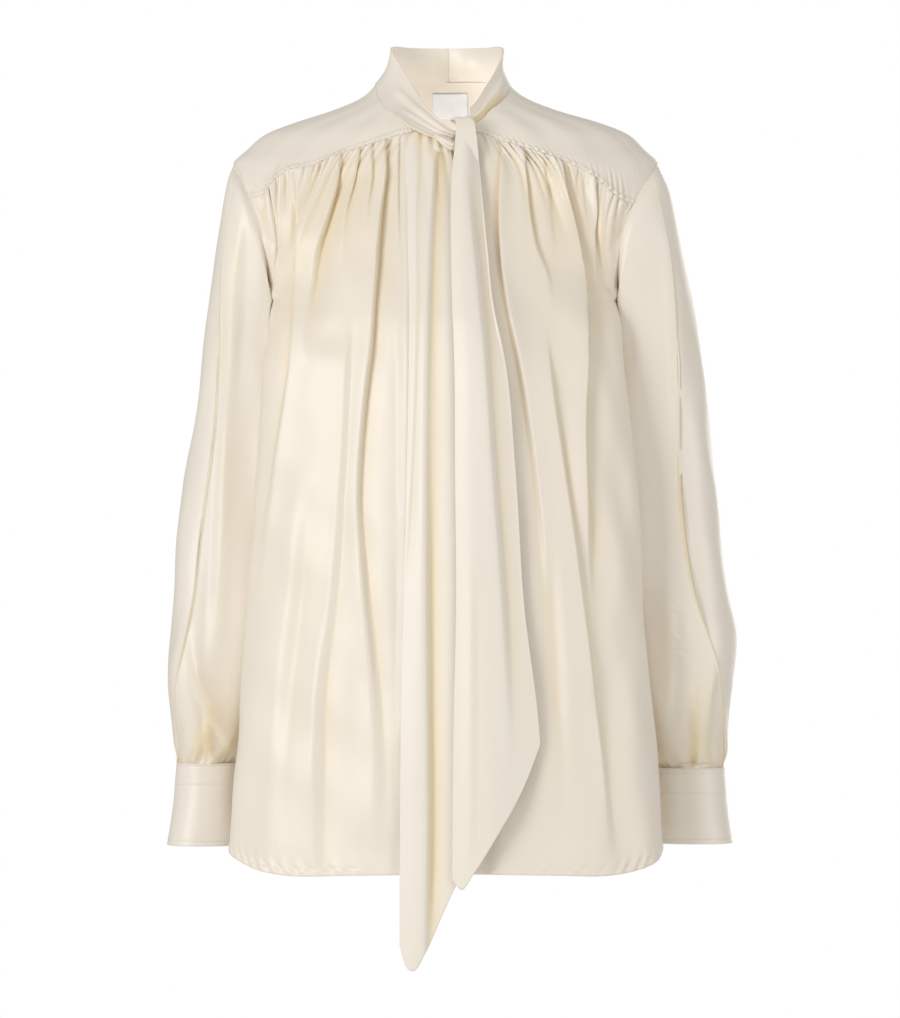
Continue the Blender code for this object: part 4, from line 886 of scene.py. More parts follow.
def yoke_half(name, down):
    """Half the yoke: straight across the body between its two edges, with a raised band
    and puckers along the gathered seams, and turned in at the armhole and the neck."""
    side = SIDES[name]
    outer_turn, outer_z, inner_turn, inner_z, gathered = yoke_edges(name)
    turn = inner_turn + (outer_turn - inner_turn) * down
    z = inner_z + (outer_z - inner_z) * down
    place = body(turn, z, side, turn > 0)
    normal, _ = body_frame(turn, z, side, turn > 0)
    lengths = np.linalg.norm(place[-1] - place[0], axis=-1)
    to_edge = (1 - down) * lengths
    run = length_along(place[-1])[None]
    inner_line, outer_line = (to_edge - at for at in YOKE_STITCHES[::-1])
    waves = short_waves(run + 0.3 * to_edge, YOKE_SEED[name], *YOKE_WAVES) / 2.6
    near_edge = bell((to_edge - 0.0030) / 0.0036) + 0.3 * bell(to_edge / 0.013)
    knocked = bell((to_edge - YOKE_KNOCK_AT[0]) / 0.012) * bell((run - YOKE_KNOCK_AT[1]) / 0.030)
    pucker = YOKE_PUCKER * waves * near_edge + YOKE_KNOCK * waves * knocked
    band = YOKE_BAND[0] * (1 - ease((to_edge - YOKE_BAND[1]) / 0.0016))
    lines = seam_groove(outer_line, 0.0003, 0.0006) + seam_groove(inner_line)
    soft = YOKE_SOFT * np.sin(run / 0.0085 + 1.3) * np.sin(np.pi * down) * bell((run - 0.07) / 0.09)
    height = np.where(gathered, pucker + band + lines, rolled_in(to_edge)) + soft
    height = height + rolled_in(down * lengths, NECK_ROLL)
    # Painted shade along the inner stitched line of the gathered seams, varying with the puckers.
    hollow = np.where(gathered, 0.5 * bell(inner_line / 0.0011) * (0.6 + 0.4 * waves), 0)
    return [place + normal * height[..., None], run + 0 * z, down * lengths, hollow]


def yoke_surface():
    """Both halves of the yoke joined at centre back."""
    down = runs(0.0, (0.03, 4), (0.80, 26), (0.985, 14), (1.0, 4))[:, None]
    right, left = (yoke_half(name, down) for name in SIDES)
    left[1] = 2 * right[1][:, -1:] - left[1]
    return [np.concatenate([a, b[:, -2::-1]], axis=1) for a, b in zip(right, left)]


# ---------------------------------------------------------------- sleeves and cuffs


def sleeve_ring(name, ring, angle):
    """Points of the sleeve: at each ring an ellipse in the plane through its outer and
    its inner point, squarer in the middle of the arm, where the cosine and the sine are
    raised to a power below one. The angle runs from the outer side by the front."""
    rings = SLEEVE | {"ring": np.arange(LAST_RING + 1.0)}
    outer_x, outer_z, inner_x, inner_z, centre_y, half_depth = (
        follow(rings, "ring", column, ring)
        for column in (f"outer_{name}", "outer_z", "inner_x", "inner_z", "centre_y", "half_depth")
    )
    square = 1 - SLEEVE_SQUARED * ease(ring / 1.6) * (1 - ease((ring - 12) / 2.5))
    c, s = signed_power(np.cos(angle), square), signed_power(np.sin(angle), square)
    x = (outer_x + inner_x) / 2 + (outer_x - inner_x) / 2 * c
    z = (outer_z + inner_z) / 2 + (outer_z - inner_z) / 2 * c
    first_x = armhole_x(ARMHOLE_BOTTOM + (ARMHOLE_TOP - ARMHOLE_BOTTOM) * (c + 1) / 2, s < 0)
    top_x, under_x = SLEEVE["outer_right"][0], SLEEVE["inner_x"][0]
    straight_x = (top_x + under_x) / 2 + (top_x - under_x) / 2 * c
    z = z - SLEEVE_LONGER[name] * ease((SLEEVE_LONGER_FROM - z) / 0.30)
    lean = at_height("lean", z) * (1 - ease(ring / 6))
    x = x + (first_x - straight_x) * (1 - ease(ring / SLEEVE_RINGS_AT_CAP))
    corner = bell((angle - SLEEVE_CORNER) / SLEEVE_CORNER_SPREAD)
    corner = corner * ease(ring / 2) * (1 - ease((ring - 8) / 4))
    y = centre_y - half_depth * s - SLEEVE_CORNER_FILL * corner
    return np.stack([SIDES[name] * x + lean, y, z], axis=-1)


def laid_on_body(name, place, ring, angle):
    """The sleeve's points, with those beneath the arm pressed against the body's wall:
    their x is the smooth greater of their own x and the wall's, a little further in at
    the corner."""
    side = SIDES[name]
    x, y, z = side * place[..., 0], place[..., 1], place[..., 2]
    beside = np.minimum(z, ARMHOLE_BOTTOM + SLEEVE_PRESSED_FROM)
    wall = section_x(turn_for_y(y, beside), beside, False) + side * at_height("lean", z)
    tuck = SLEEVE_TUCK * bell((angle - SLEEVE_CORNER) / SLEEVE_CORNER_SPREAD)
    wall = wall + SLEEVE_GAP - tuck
    starts = ease(ring / 0.7)
    near = np.minimum(x - wall, 0) * (1 - starts) + np.maximum(x - wall, 0)
    pressed = wall + (near + np.sqrt(near**2 + SLEEVE_TURN_ROUNDED**2)) / 2
    weight = ease((ARMHOLE_BOTTOM + SLEEVE_PRESSED_FROM - z) / 0.02) * starts
    return np.stack([side * (x + (pressed - x) * weight), y, z], axis=-1)


def armhole_seam(name, angle):
    """Points of the armhole seam on the body at angles of the sleeve."""
    z = ARMHOLE_MIDDLE + ARMHOLE_HALF_HEIGHT * np.cos(angle)
    back = np.sin(angle) < 0
    return body(armhole_turn(z, back), z, SIDES[name], back)


def sleeve_columns(name, ring):
    """Angles of the sleeve's columns at each ring, warped by a bell so that one column
    always lies on the long outer seam, and each column's angle from that one."""
    seam = SLEEVE_SEAM[name]
    middle = float(np.mean(seam["angle"]))
    last = middle + ROUND
    fine = np.concatenate([
        runs(middle, (middle + 0.03, 4), (middle + 0.5, 14)),
        runs(middle + 0.5, (last - 0.5, 124))[1:],
        runs(last - 0.5, (last - 0.03, 14), (last, 4))[1:-1],
    ])[None]
    off = np.angle(np.exp(1j * (fine - middle)))
    return fine + (follow(seam, "ring", "angle", ring) - middle) * bell(off), off


def sleeve_surface(name):
    """A sleeve as a grid. It leaves the armhole seam and turns in there. Height off it is
    the listed folds on its front, like ones on its back, the gathers above the cuff
    and the groove of the long seam."""
    side = SIDES[name]
    ends = (0.12, 5), (4.0, 38), (12.0, 44), (LAST_RING - 0.12, 42), (LAST_RING, 6)
    ring = runs(0.0, *ends)[:, None]
    angle, off = sleeve_columns(name, ring)
    first = armhole_seam(name, angle[0]) - sleeve_ring(name, 0.0, angle[0])
    place = sleeve_ring(name, ring, angle) + first * (1 - ease(ring / 1.2))[..., None]
    place = laid_on_body(name, place, ring, angle)
    normal = side * normals_of(place, ring=True)
    tangent = unit(np.roll(place, -1, axis=1) - np.roll(place, 1, axis=1))
    down = length_along(place)
    to_cuff = down[-1:] - down
    x, z = place[..., 0], place[..., 2]
    facing, behind = (ease((way * np.sin(angle) - 0.05) / 0.35) for way in (1, -1))
    folded, shift, crease_shade = hand_folds(SLEEVE_FOLDS[name], x, z)
    mirrored = SLEEVE_FOLDS["left" if name == "right" else "right"][:2]
    inside = ease(down / 0.03) * ease(to_cuff / 0.004)
    folded = (folded * facing + hand_folds(mirrored, -x, z + 0.03)[0] * behind) * inside
    all_round = ROUND * SLEEVE_RADIUS
    round_it = (angle - angle[:, :1]) * SLEEVE_RADIUS

    def gathered(distance, pitch, depth, seed, reach, narrow):
        return gathers(round_it, distance, all_round, pitch, depth, seed + side, reach, narrow)

    depth = CUFF_GATHER_DEPTH[name] * np.where(np.sin(angle) < 0, 0.7, 1.0)
    puckers = depth * gathered(to_cuff, *CUFF_GATHERS) * (0.3 + 0.7 * ease(to_cuff / 0.003))
    # Painted shade along the folds' creases on the front, in the folds' troughs and in the puckers above the
    # cuff.
    hollow = 0.7 * crease_shade * facing * inside + 0.3 * shade(folded, FULL_DEPTH["loose"])
    hollow = hollow + shade(puckers, FULL_DEPTH["pucker"], 1.3)
    lying = ease((1.75 - np.abs(angle - np.pi)) / 0.45) * (1 - ease((down - 0.05) / 0.12))
    free = ease(down / 0.012) * ease(to_cuff / 0.02) * (1 - lying)
    soft = gathered(down, *CAP_GATHERS) + gathered(down, *SOFT_GATHERS)
    soft = soft + ripples(round_it, down, 33 + side, SLEEVE_RIPPLE)
    around = off * SEAM_RADIUS
    shows = 0.2 + 0.8 * ease((ring - SLEEVE_SEAM_SHOWS_FROM[name]) / 0.8)
    shows = shows * ease(down / 0.01)
    # Painted shade along the long seam.
    hollow = hollow + 0.95 * bell(around / SEAM_SHADE_WIDTH) * shows
    height = folded + puckers + soft * free + seam_groove(around, SEAM_DEPTH) * shows
    tuck = -0.0004 * (1 - ease((to_cuff - 0.0004) / 0.0014))
    height = height + rolled_in(down) + tuck + 0.0004 * bell((to_cuff - 0.006) / 0.004)
    sideways = np.sign(tangent[..., :1]) * (shift * facing * inside)[..., None]
    place = place + normal * height[..., None] + tangent * sideways
    turned = np.concatenate([round_it, round_it[:, :1] + all_round], axis=1)
    return place, turned, down, hollow


def cuff_surface(name, down):
    """A cuff as a grid: an ellipse that widens downwards, drawn as a band whose last
    part lies over its first, with grooves at its stitched lines."""
    side = SIDES[name]
    share = runs(0.0, (0.006, 3), (0.994, 130), (1.0, 3))[None]
    angle = CUFF_OPENS_AT + (ROUND + CUFF_LAP) * share
    outer_x, inner_x, z, centre_y, half_depth = (
        follow(CUFF | {"row": CUFF_ROWS}, "row", column, down)
        for column in (f"outer_{name}", "inner_x", f"z_{name}", "centre_y", "half_depth")
    )
    lapped = CUFF_LAP_STEP * ease((share - 0.80) / 0.15)
    c, s = (signed_power(wave(angle), CUFF_SQUARE) for wave in (np.cos, np.sin))
    x = (outer_x + inner_x) / 2 + ((outer_x - inner_x) / 2 + lapped) * c
    y = centre_y - (half_depth + lapped) * s
    place = np.stack([side * x, y, z + 0 * angle], axis=-1)
    length = CUFF[f"z_{name}"][0] - CUFF[f"z_{name}"][-1]
    below = down * length
    height = CUFF_UNEVEN * np.sin(3 * angle + 1 + 4 * down) * ease(below / 0.02)
    for line in CUFF_STITCHES[name]:
        height = height + seam_groove(below - line % length, 0.0004, 0.0006)
    waves = short_waves(angle * CUFF_RADIUS, 61 + side, 0.005, 0.011, 5, even=True) / 5
    height = height + CUFF_PUCKER * waves * bell(below / 0.006)
    place = place - side * normals_of(place) * height[..., None]
    return place, share * CUFF_ROUND + 0 * down, below + 0 * share, 0 * angle * down


# ---------------------------------------------------------------- collar, knot and ties


def collar_surface(name):
    """Half of the collar as a grid: straight between the neckline seam and the upper
    edge, rounded outwards by a sine, with long pleats that gather towards the knot."""
    side, columns = SIDES[name], COLLAR[name]
    part = runs(0.0, (0.01, 3), (0.55, 54), (0.99, 70), (1.0, 3))
    up = runs(0.0, (0.03, 3), (0.97, 24), (1.0, 3))[::-1, None]
    turn = follow(columns, "part", "turn", part)
    seam = body(turn, follow(NECKLINE, "turn", name, turn), side, turn > 0)
    seam[:, 0] += (CENTRE_BACK_X - seam[0, 0]) * ease((turn - 0.6) / 0.97)
    if name == "right":
        freed = ease((part - COLLAR_FREE_FROM) / 0.14)[:, None]
        seam = seam + (path_at(COLLAR_FREE, part) - seam) * freed
    top = path_at(columns, part, ("top_x", "top_y", "top_z"))
    place = top + (seam - top) * (1 - up)[..., None]
    height = COLLAR_BULGE * np.sin(np.pi * up) * ease(part / 0.1)
    if name == "right":
        for start, from_up, to_up, spread, deep in zip(*COLLAR_PLEATS.values()):
            centre = from_up + (to_up - from_up) * (part - start) / (1 - start)
            pleat = 0.35 - bell((up - centre) / spread)
            height = height + deep * ease((part - start) / 0.12) * pleat
    else:
        pleat = 0.3 - bell((up - 0.24 - 0.25 * (1 - part)) / 0.15)
        height = height + COLLAR_DEEP_PLEAT * ease((part - 0.52) / 0.25) * pleat
    # Painted shade in the pleats' valleys; on the left half also a deep painted shade along its lower seam
    # towards the knot.
    hollow = 1.3 * shade(height, 0.0015)
    if name == "left":
        hollow = hollow + 1.8 * ease((part - 0.5) / 0.25) * bell(up / 0.20)
    height = height + rolled_in(up * 0.05, NECK_ROLL) + seam_groove(part * 0.09, 0.0006, 0.0009)
    place = place + side * normals_of(place) * height[..., None]
    return place, part * COLLAR_LENGTH + 0 * up, (1 - up) * COLLAR_HEIGHT + 0 * part, hollow


def knot_surface():
    """The pinched roll: an oval tube along its centre line, with pleats lengthways that
    are cosines of the angle and twist a little along it, closed to a point at each end."""
    part = runs(0.0, (0.04, 4), (0.96, 40), (1.0, 4))
    columns = KNOT | {"part": np.linspace(0, 1, len(KNOT["x"]))}
    centre = path_at(columns, part)
    high, thick = path_at(columns, part, ("height", "thick")).T[..., None] / 2
    heading = unit(np.gradient(centre, axis=0))
    up = unit(np.cross(heading, np.array([0.0, -1.0, 0.0])))
    out = np.cross(heading, up)
    part, angle = part[:, None], np.linspace(0, ROUND, 72, endpoint=False)[None]
    closing = np.sqrt(np.clip(1.02 - (2 * part - 1) ** 8, 0.02, 1))
    pleats = 1 + 0.09 * np.cos(5 * angle + 2.6 * part) + 0.04 * np.cos(11 * angle - 3 * part)
    rise = (high * closing * pleats * np.sin(angle))[..., None]
    reach = ((thick + KNOT_THICKNESS) * closing * pleats * np.cos(angle))[..., None]
    place = centre[:, None] + up[:, None] * rise + out[:, None] * reach
    turned = np.linspace(0, 0.045, 73)[None] + 0 * part
    # The last value is painted shade in the valleys of the pleats.
    return place, turned, part * 0.014 + 0 * angle, np.clip((1 - pleats) * 9, 0, 1.6)


def front_y(x, z):
    """Y of the fronts at x, z, without their folds."""
    turn = turn_at(np.abs(x - at_height("lean", z)), z)
    return body(turn, z, 1)[..., 1] - 0.001


def turned_over(share):
    """Points where the left tie end turns over the knot from behind: its path across the
    tie's width, drawn in at its near edge and rounded at both."""
    row = np.linspace(0, 4, 36)[:, None]
    y, z = np.moveaxis(path_at(TIE_TURNOVER | {"part": np.arange(5.0)}, row, "yz"), -1, 0)
    near, far = (follow(TIE_SIDES["left"], "z", edge, z) for edge in ("near", "far"))
    near = near + 0.0004
    x = near + (far - near) * share - TIE_DRAWN_IN * bell(share / 0.13) * bell((row - 1.8) / 0.7)
    z = z - TIE_ROUNDED * (2 * share - 1) ** 4 * bell((row - 2) / 1.3)
    z = z + TIE_WAVE * np.sin(ROUND * 1.6 * share + 0.8) * bell((row - 2) / 1.1)
    return np.stack([x, y + 0 * x, z], axis=-1)


def tie_surface(name):
    """A tie end as a grid: it hangs off the fronts by a distance that changes across it,
    pinched towards the knot, with soft folds down it. The left one first turns over the
    knot from behind."""
    share = runs(0.0, (0.012, 3), (0.988, 48), (1.0, 3))[None]
    down = runs(0.0, (0.15, 50), (0.994, 118), (1.0, 4))[:, None]
    top_z, low_z = (follow(edge[name], "share", "z", share) for edge in (TIE_UPPER, TIE_LOWER))
    z = top_z + (low_z - top_z) * down
    near, far = (follow(TIE_SIDES[name], "z", edge, z) for edge in ("near", "far"))
    x, drop = near + (far - near) * share, top_z - z
    base = np.minimum(front_y(x, z), TIE_TOP_Y[name][0])
    pinch = TIE_PINCHED[name] + (1 - TIE_PINCHED[name]) * ease(drop / 0.10)
    y = base - TIE_CLEAR - follow(TIE_STAND_OFF[name], "share", "off", share) * pinch
    y = np.minimum(y, TIE_TOP_Y[name][1] + 0.0030 * share)
    height, _, crease_shade = hand_folds(TIE_FOLDS[name], x, z)
    height = height * ease(share / 0.06) * ease((1 - share) / 0.06)
    # Painted shade along the folds' creases and in their troughs.
    hollow = 0.5 * crease_shade + (1.0 if name == "right" else 0.7) * shade(height, FULL_DEPTH["loose"])
    if name == "right":
        high, reach, pleats = TIE_FAN
        fan = high * ease(drop / 0.004) * np.exp(-drop / reach)
        fan = fan * np.sin(ROUND * pleats * share**1.5 + 0.6)
        height = height + fan
        # Painted shade in the fan's valleys, and a deep painted shade at the top, where the tie end comes out
        # from under the collar band.
        hollow = hollow + shade(fan, 0.0012) + 1.6 * np.exp(-drop / 0.005)
    place = np.stack([x, y - height, z], axis=-1)
    if name == "left":
        over = turned_over(share)
        place = np.concatenate([over, place[2:]])
        hollow = np.concatenate([0 * over[..., 0], hollow[2:]])
    width = np.linalg.norm(place[:, -1] - place[:, 0], axis=-1)[:, None]
    return place, share * width, length_along(place), hollow


def label_surface():
    """The blank label: a rectangle laid just inside the back of the yoke."""
    wide, high = LABEL_SIZE
    x, z = np.meshgrid(
        LABEL_CENTRE[0] + np.linspace(-wide / 2, wide / 2, 30),
        LABEL_CENTRE[1] + np.linspace(high / 2, -high / 2, 22),
    )
    off_centre = x - at_height("lean", z)
    place, normal, _ = back_half(turn_at(np.abs(off_centre), z, True), z, off_centre)
    gap = LABEL_GAP + LABEL_WAVE * np.sin(x * 300) * np.sin(z * 260)
    return place - normal * gap[..., None], x - x.min(), z.max() - z, 0 * x


# ---------------------------------------------------------------- meshes


def new_piece(name, points, faces, material):
    """A smooth object at the origin from points and faces."""
    mesh = bpy.data.meshes.new(name)
    mesh.from_pydata(points.reshape(-1, 3).tolist(), [], faces.tolist())
    mesh.shade_smooth()
    mesh.materials.append(material)
    piece = bpy.data.objects.new(name, mesh)
    bpy.context.scene.collection.objects.link(piece)
    return piece


def shell(name, surface, thick, material, outside, ring=False):
    """A thin closed wall: the grid moved half the thickness along its normal to both
    sides, drawn together along its edges, with faces between the two skins' edges. Each
    corner of a face takes the distances across and down the cloth as its UV."""
    place, across, down, hollow = surface
    rows, columns = place.shape[:2]
    half = np.full((rows, columns, 1), thick / 2)
    half[[0, -1]] *= 0.3
    if not ring:
        half[:, [0, -1]] *= 0.3
    off = outside * normals_of(place, ring) * half
    number = np.arange(rows * columns).reshape(rows, columns)
    if ring:
        number = np.concatenate([number, number[:, :1]], axis=1)
        down = np.concatenate([down, down[:, :1]], axis=1)
    uv = np.stack([across, down], axis=-1)

    def corners(grid, count):
        skin = np.stack([grid[:-1, :-1], grid[1:, :-1], grid[1:, 1:], grid[:-1, 1:]], axis=2)
        skin = skin.reshape(-1, 4, *grid.shape[2:])
        rims = [(grid[0, :-1], grid[0, 1:]), (grid[-1, 1:], grid[-1, :-1])]
        if not ring:
            rims += [(grid[1:, 0], grid[:-1, 0]), (grid[:-1, -1], grid[1:, -1])]
        rims = [np.stack([p, q, q + count, p + count], axis=1) for p, q in rims]
        found = np.concatenate([skin, skin[:, ::-1] + count, *rims])
        return found if outside > 0 else found[:, ::-1]

    points = np.concatenate([place + off, place - off])
    piece = new_piece(name, points, corners(number, rows * columns), material)
    layer = piece.data.uv_layers.new(name="cloth")
    layer.data.foreach_set("uv", corners(uv, 0).astype(np.float32).ravel())
    # The painted shade of each point, which darkens and warms the satin's base colour, on both skins.
    depth = piece.data.attributes.new("hollow", "FLOAT", "POINT")
    depth.data.foreach_set("value", np.tile(hollow.ravel(), 2).astype(np.float32))
    return piece


def line_at(surface, distance, wanted, outside, thick):
    """A path across a surface's columns where `distance`, one value for each point of
    the grid and falling down each column, equals `wanted`, with its normals."""
    place = surface[0]
    normal = outside * normals_of(place)
    row = np.clip((distance > wanted).sum(axis=0) - 1, 0, len(distance) - 2)
    column = np.arange(distance.shape[1])
    above, below = distance[row, column], distance[row + 1, column]
    share = np.clip((above - wanted) / np.where(above == below, 1, above - below), 0, 1)[:, None]
    points = place[row, column] * (1 - share) + place[row + 1, column] * share
    normals = unit(normal[row, column] * (1 - share) + normal[row + 1, column] * share)
    return points + normals * thick / 2, normals


def stitch_row(path, normals, sizes):
    """Points and faces of one row of stitches along a path: each a short bar with four
    sides, thickest in the middle and bent down to the cloth at both ends."""
    run, length, thread = length_along(path), sizes.stitch_length, sizes.thread_width
    starts = np.arange(sizes.stitch_gap / 2, run[-1] - length, length + sizes.stitch_gap)
    at = starts[:, None] + np.array([0.0, 0.2, 0.8, 1.0]) * length

    def sample(values):
        return np.stack([np.interp(at, run, values[:, k]) for k in range(3)], axis=-1)

    centre, normal = sample(path), unit(sample(normals))
    across = np.cross(unit(centre[:, -1:] - centre[:, :1]), normal)
    full = np.array([0.35, 1.0, 1.0, 0.35])[:, None] * thread / 2
    lift = np.array([-0.2, 0.45, 0.45, -0.2])[:, None] * thread
    spokes = (across, normal, -across, -normal)
    points = np.stack([centre + normal * lift + full * spoke for spoke in spokes], axis=2)
    number = np.arange(len(starts) * 16).reshape(-1, 4, 4)
    beside = np.roll(number, -1, axis=2)
    walls = [number[:, :-1], beside[:, :-1], beside[:, 1:], number[:, 1:]]
    ends = [number[:, 0, ::-1], number[:, 3]]
    return points.reshape(-1, 3), np.concatenate([np.stack(walls, axis=-1).reshape(-1, 4), *ends])


def stitches(name, lines, material, sizes):
    """Rows of stitches along lines, each a path with its normals, as one mesh."""
    points, faces = zip(*(stitch_row(path, normals, sizes) for path, normals in lines))
    firsts = np.cumsum([0] + [len(row) for row in points])
    faces = [row + first for row, first in zip(faces, firsts)]
    return new_piece(name, np.concatenate(points), np.concatenate(faces), material)


# ---------------------------------------------------------------- materials

THREAD_RELIEF = 0.00003
CRUMPLE_RELIEF = 0.00022
FLOAT_RUN = 7  # how many threads long a float of the satin is


class Socket:
    """A node's output. Sums on it add Math nodes; colours and vectors go through
    `Finish.mix` and `Finish.node` instead."""

    def __init__(self, finish, output):
        self.finish, self.output = finish, output

    def math(self, operation, first, second):
        """The output of a Math node with these two values."""
        return self.finish.node("ShaderNodeMath", {"operation": operation}, {0: first, 1: second})[0]

    def __add__(self, other):
        return self.math("ADD", self, other)

    def __radd__(self, other):
        return self.math("ADD", other, self)

    def __sub__(self, other):
        return self.math("SUBTRACT", self, other)

    def __rsub__(self, other):
        return self.math("SUBTRACT", other, self)

    def __mul__(self, other):
        return self.math("MULTIPLY", self, other)

    def __rmul__(self, other):
        return self.math("MULTIPLY", other, self)


class Outputs:
    """The outputs of one node by number or name, as sockets."""

    def __init__(self, finish, node):
        self.finish, self.node = finish, node

    def __getitem__(self, key):
        return Socket(self.finish, self.node.outputs[key])


class Finish:
    """A material with a Principled shader, and the nodes that vary it."""

    def __init__(self, name):
        self.material = bpy.data.materials.new(name)
        self.material.use_nodes = True
        self.tree = self.material.node_tree
        self.shader = self.tree.nodes["Principled BSDF"]

    def node(self, kind, settings=None, values=None):
        """A node of this type: its settings first, then its sockets' values or links."""
        node = self.tree.nodes.new(kind)
        for name, value in (settings or {}).items():
            setattr(node, name, value)
        self.feed(node, values or {})
        return Outputs(self, node)

    def feed(self, node, values):
        """Gives a node's inputs their values: a link from another node, or a constant."""
        for key, value in values.items():
            if isinstance(value, Socket):
                self.tree.links.new(value.output, node.inputs[key])
            else:
                node.inputs[key].default_value = value

    def mix(self, factor, first, second):
        """A colour between two others."""
        return self.node("ShaderNodeMix", {"data_type": "RGBA"}, {0: factor, 6: first, 7: second})[2]

    def noise(self, vector, scale, detail=2.0):
        """A random pattern from 0 to 1."""
        values = {"Vector": vector, "Scale": scale, "Detail": detail}
        return self.node("ShaderNodeTexNoise", {}, values)["Fac"]

    def stretched(self, vector, scale):
        """A vector with each of its parts multiplied."""
        return self.node("ShaderNodeVectorMath", {"operation": "MULTIPLY"}, {0: vector, 1: scale})[0]

    def bump(self, height, strength, distance):
        """A normal from a height."""
        values = {"Strength": strength, "Distance": distance, "Height": height}
        return self.node("ShaderNodeBump", {}, values)["Normal"]

    def on_cloth(self):
        """The distances across and down the cloth."""
        return self.node("ShaderNodeUVMap", {"uv_map": "cloth"})["UV"]

    def in_space(self):
        """The place on the object."""
        return self.node("ShaderNodeTexCoord")["Object"]


def made_once(build):
    """Makes a material, named after its function, at the first call and finds it later."""

    def material(*settings):
        made = bpy.data.materials.get(build.__name__)
        if made is None:
            finish = Finish(build.__name__)
            finish.feed(finish.shader, build(finish, *settings))
            made = finish.material
        return made

    return material


def opaque(colour, deeper=1.0):
    """A colour with four parts, darkened by a factor."""
    return *(deeper * part for part in colour), 1.0


@made_once
def ivory_satin(finish, cloth):
    """Satin: long warp floats across fine picks as a low relief, a colour that drifts a little
    over the cloth at random, painted shade that warms it in the hollows of folds and turns it
    deep brown along creases and seams, and a soft gloss."""
    uv, threads = finish.on_cloth(), 1 / cloth.thread_pitch
    floats = finish.noise(finish.stretched(uv, (threads, threads / FLOAT_RUN, 1.0)), 1.0, 1.0)
    drift = finish.noise(finish.in_space(), 14.0, 3.0)
    crumple = finish.noise(finish.stretched(uv, (1.0, 0.35, 1.0)), 55.0)
    hollow = finish.node("ShaderNodeAttribute", {"attribute_name": "hollow"})["Fac"]
    lit, shade_tone, deep = (opaque(c) for c in (cloth.colour, cloth.fold_colour, cloth.crease_colour))
    # Painted shade: the satin's colour goes towards the warm shade colour as the painted shade grows, and
    # past about 0.9 on towards the deep brown crease shade colour.
    shaded_base = finish.mix(hollow * 0.8 + drift * 0.16 - 0.08, lit, shade_tone)
    return {
        "Base Color": finish.mix(hollow * 0.8 - 0.7, shaded_base, deep),
        "Roughness": floats * 0.06 + drift * 0.05 + (cloth.roughness - 0.055),
        "Normal": finish.bump(floats * THREAD_RELIEF + crumple * CRUMPLE_RELIEF, 1.0, 1.0),
        "Specular IOR Level": 0.65,
        "Anisotropic": 0.5,
        "Sheen Weight": cloth.sheen,
        "Sheen Roughness": 0.45,
        "Sheen Tint": (1.0, 0.97, 0.92, 1.0),
        "Metallic": 0.0,
    }


@made_once
def silk_thread(finish, cloth):
    """Sewing thread: the satin's colour a shade deeper, with a fine twist."""
    twist = finish.noise(finish.in_space(), 2500.0, 1.0)
    return {
        "Base Color": finish.mix(twist, opaque(cloth.colour, 0.86), opaque(cloth.colour)),
        "Normal": finish.bump(twist, 0.5, 0.00005),
        "Roughness": 0.38,
        "Sheen Weight": 0.3,
    }


@made_once
def label_tape(finish, trim):
    """Woven label tape: a fine square weave, cool white."""
    weave = finish.noise(finish.stretched(finish.on_cloth(), (2600.0, 2600.0, 1.0)), 1.0, 1.0)
    return {
        "Base Color": finish.mix(weave * 0.3, opaque(trim.label_colour), (0.72, 0.72, 0.76, 1.0)),
        "Normal": finish.bump(weave, 0.6, 0.00008),
        "Roughness": 0.62,
        "Sheen Weight": 0.15,
    }


@made_once
def studio_floor(finish):
    """Matt pale floor with a faint unevenness in its tone."""
    tone = finish.noise(finish.in_space(), 3.0, 4.0)
    pale = finish.mix(tone, (0.80, 0.80, 0.79, 1.0), (0.84, 0.84, 0.83, 1.0))
    return {"Base Color": pale, "Roughness": 0.75}


# ---------------------------------------------------------------- settings


class BlouseCloth(bpy.types.PropertyGroup):
    """The satin."""

    thickness: FloatProperty(
        name="Cloth Thickness", description="Thickness of one layer of satin",
        default=0.0008, min=0.0002, max=0.002, unit="LENGTH", precision=4,
    )
    doubled: FloatProperty(
        name="Doubled Thickness", description="Thickness of the doubled collar, cuffs and tie ends",
        default=0.0015, min=0.0005, max=0.003, unit="LENGTH", precision=4,
    )
    colour: FloatVectorProperty(
        name="Colour", description="Colour of the satin where light falls on it",
        default=(0.90, 0.830, 0.732), min=0.0, max=1.0, subtype="COLOR", size=3,
    )
    # The colour towards which the painted shade in the hollows of folds turns the satin.
    fold_colour: FloatVectorProperty(
        name="Fold Colour", description="Warmer colour of the satin in the hollows of folds",
        default=(0.85, 0.72, 0.48), min=0.0, max=1.0, subtype="COLOR", size=3,
    )
    # The colour of the deepest painted shade, along sharp creases and seams.
    crease_colour: FloatVectorProperty(
        name="Crease Colour", description="Deeper colour of the satin along sharp creases",
        default=(0.66, 0.50, 0.28), min=0.0, max=1.0, subtype="COLOR", size=3,
    )
    roughness: FloatProperty(
        name="Roughness", description="How soft the satin's gloss is", default=0.40, min=0.0, max=1.0,
        subtype="FACTOR",
    )
    sheen: FloatProperty(
        name="Sheen", description="How much light the threads catch edge on", default=0.12, min=0.0, max=1.0,
        subtype="FACTOR",
    )
    thread_pitch: FloatProperty(
        name="Thread Pitch", description="Distance between neighbouring warp threads",
        default=0.00022, min=0.0001, max=0.001, unit="LENGTH", precision=5,
    )


class BlouseFolds(bpy.types.PropertyGroup):
    """The folds and gathers."""

    fold_height: FloatProperty(
        name="Fold Height", description="Height of the long folds, as a multiple of how they are laid",
        default=1.0, min=0.0, max=1.5,
    )
    gather_pitch: FloatProperty(
        name="Gather Pitch", description="Usual distance between gathers at a seam",
        default=0.0078, min=0.004, max=0.02, unit="LENGTH", precision=4,
    )
    gather_depth: FloatProperty(
        name="Gather Depth", description="Usual depth of the gathers below a seam",
        default=0.0046, min=0.0, max=0.008, unit="LENGTH", precision=4,
    )


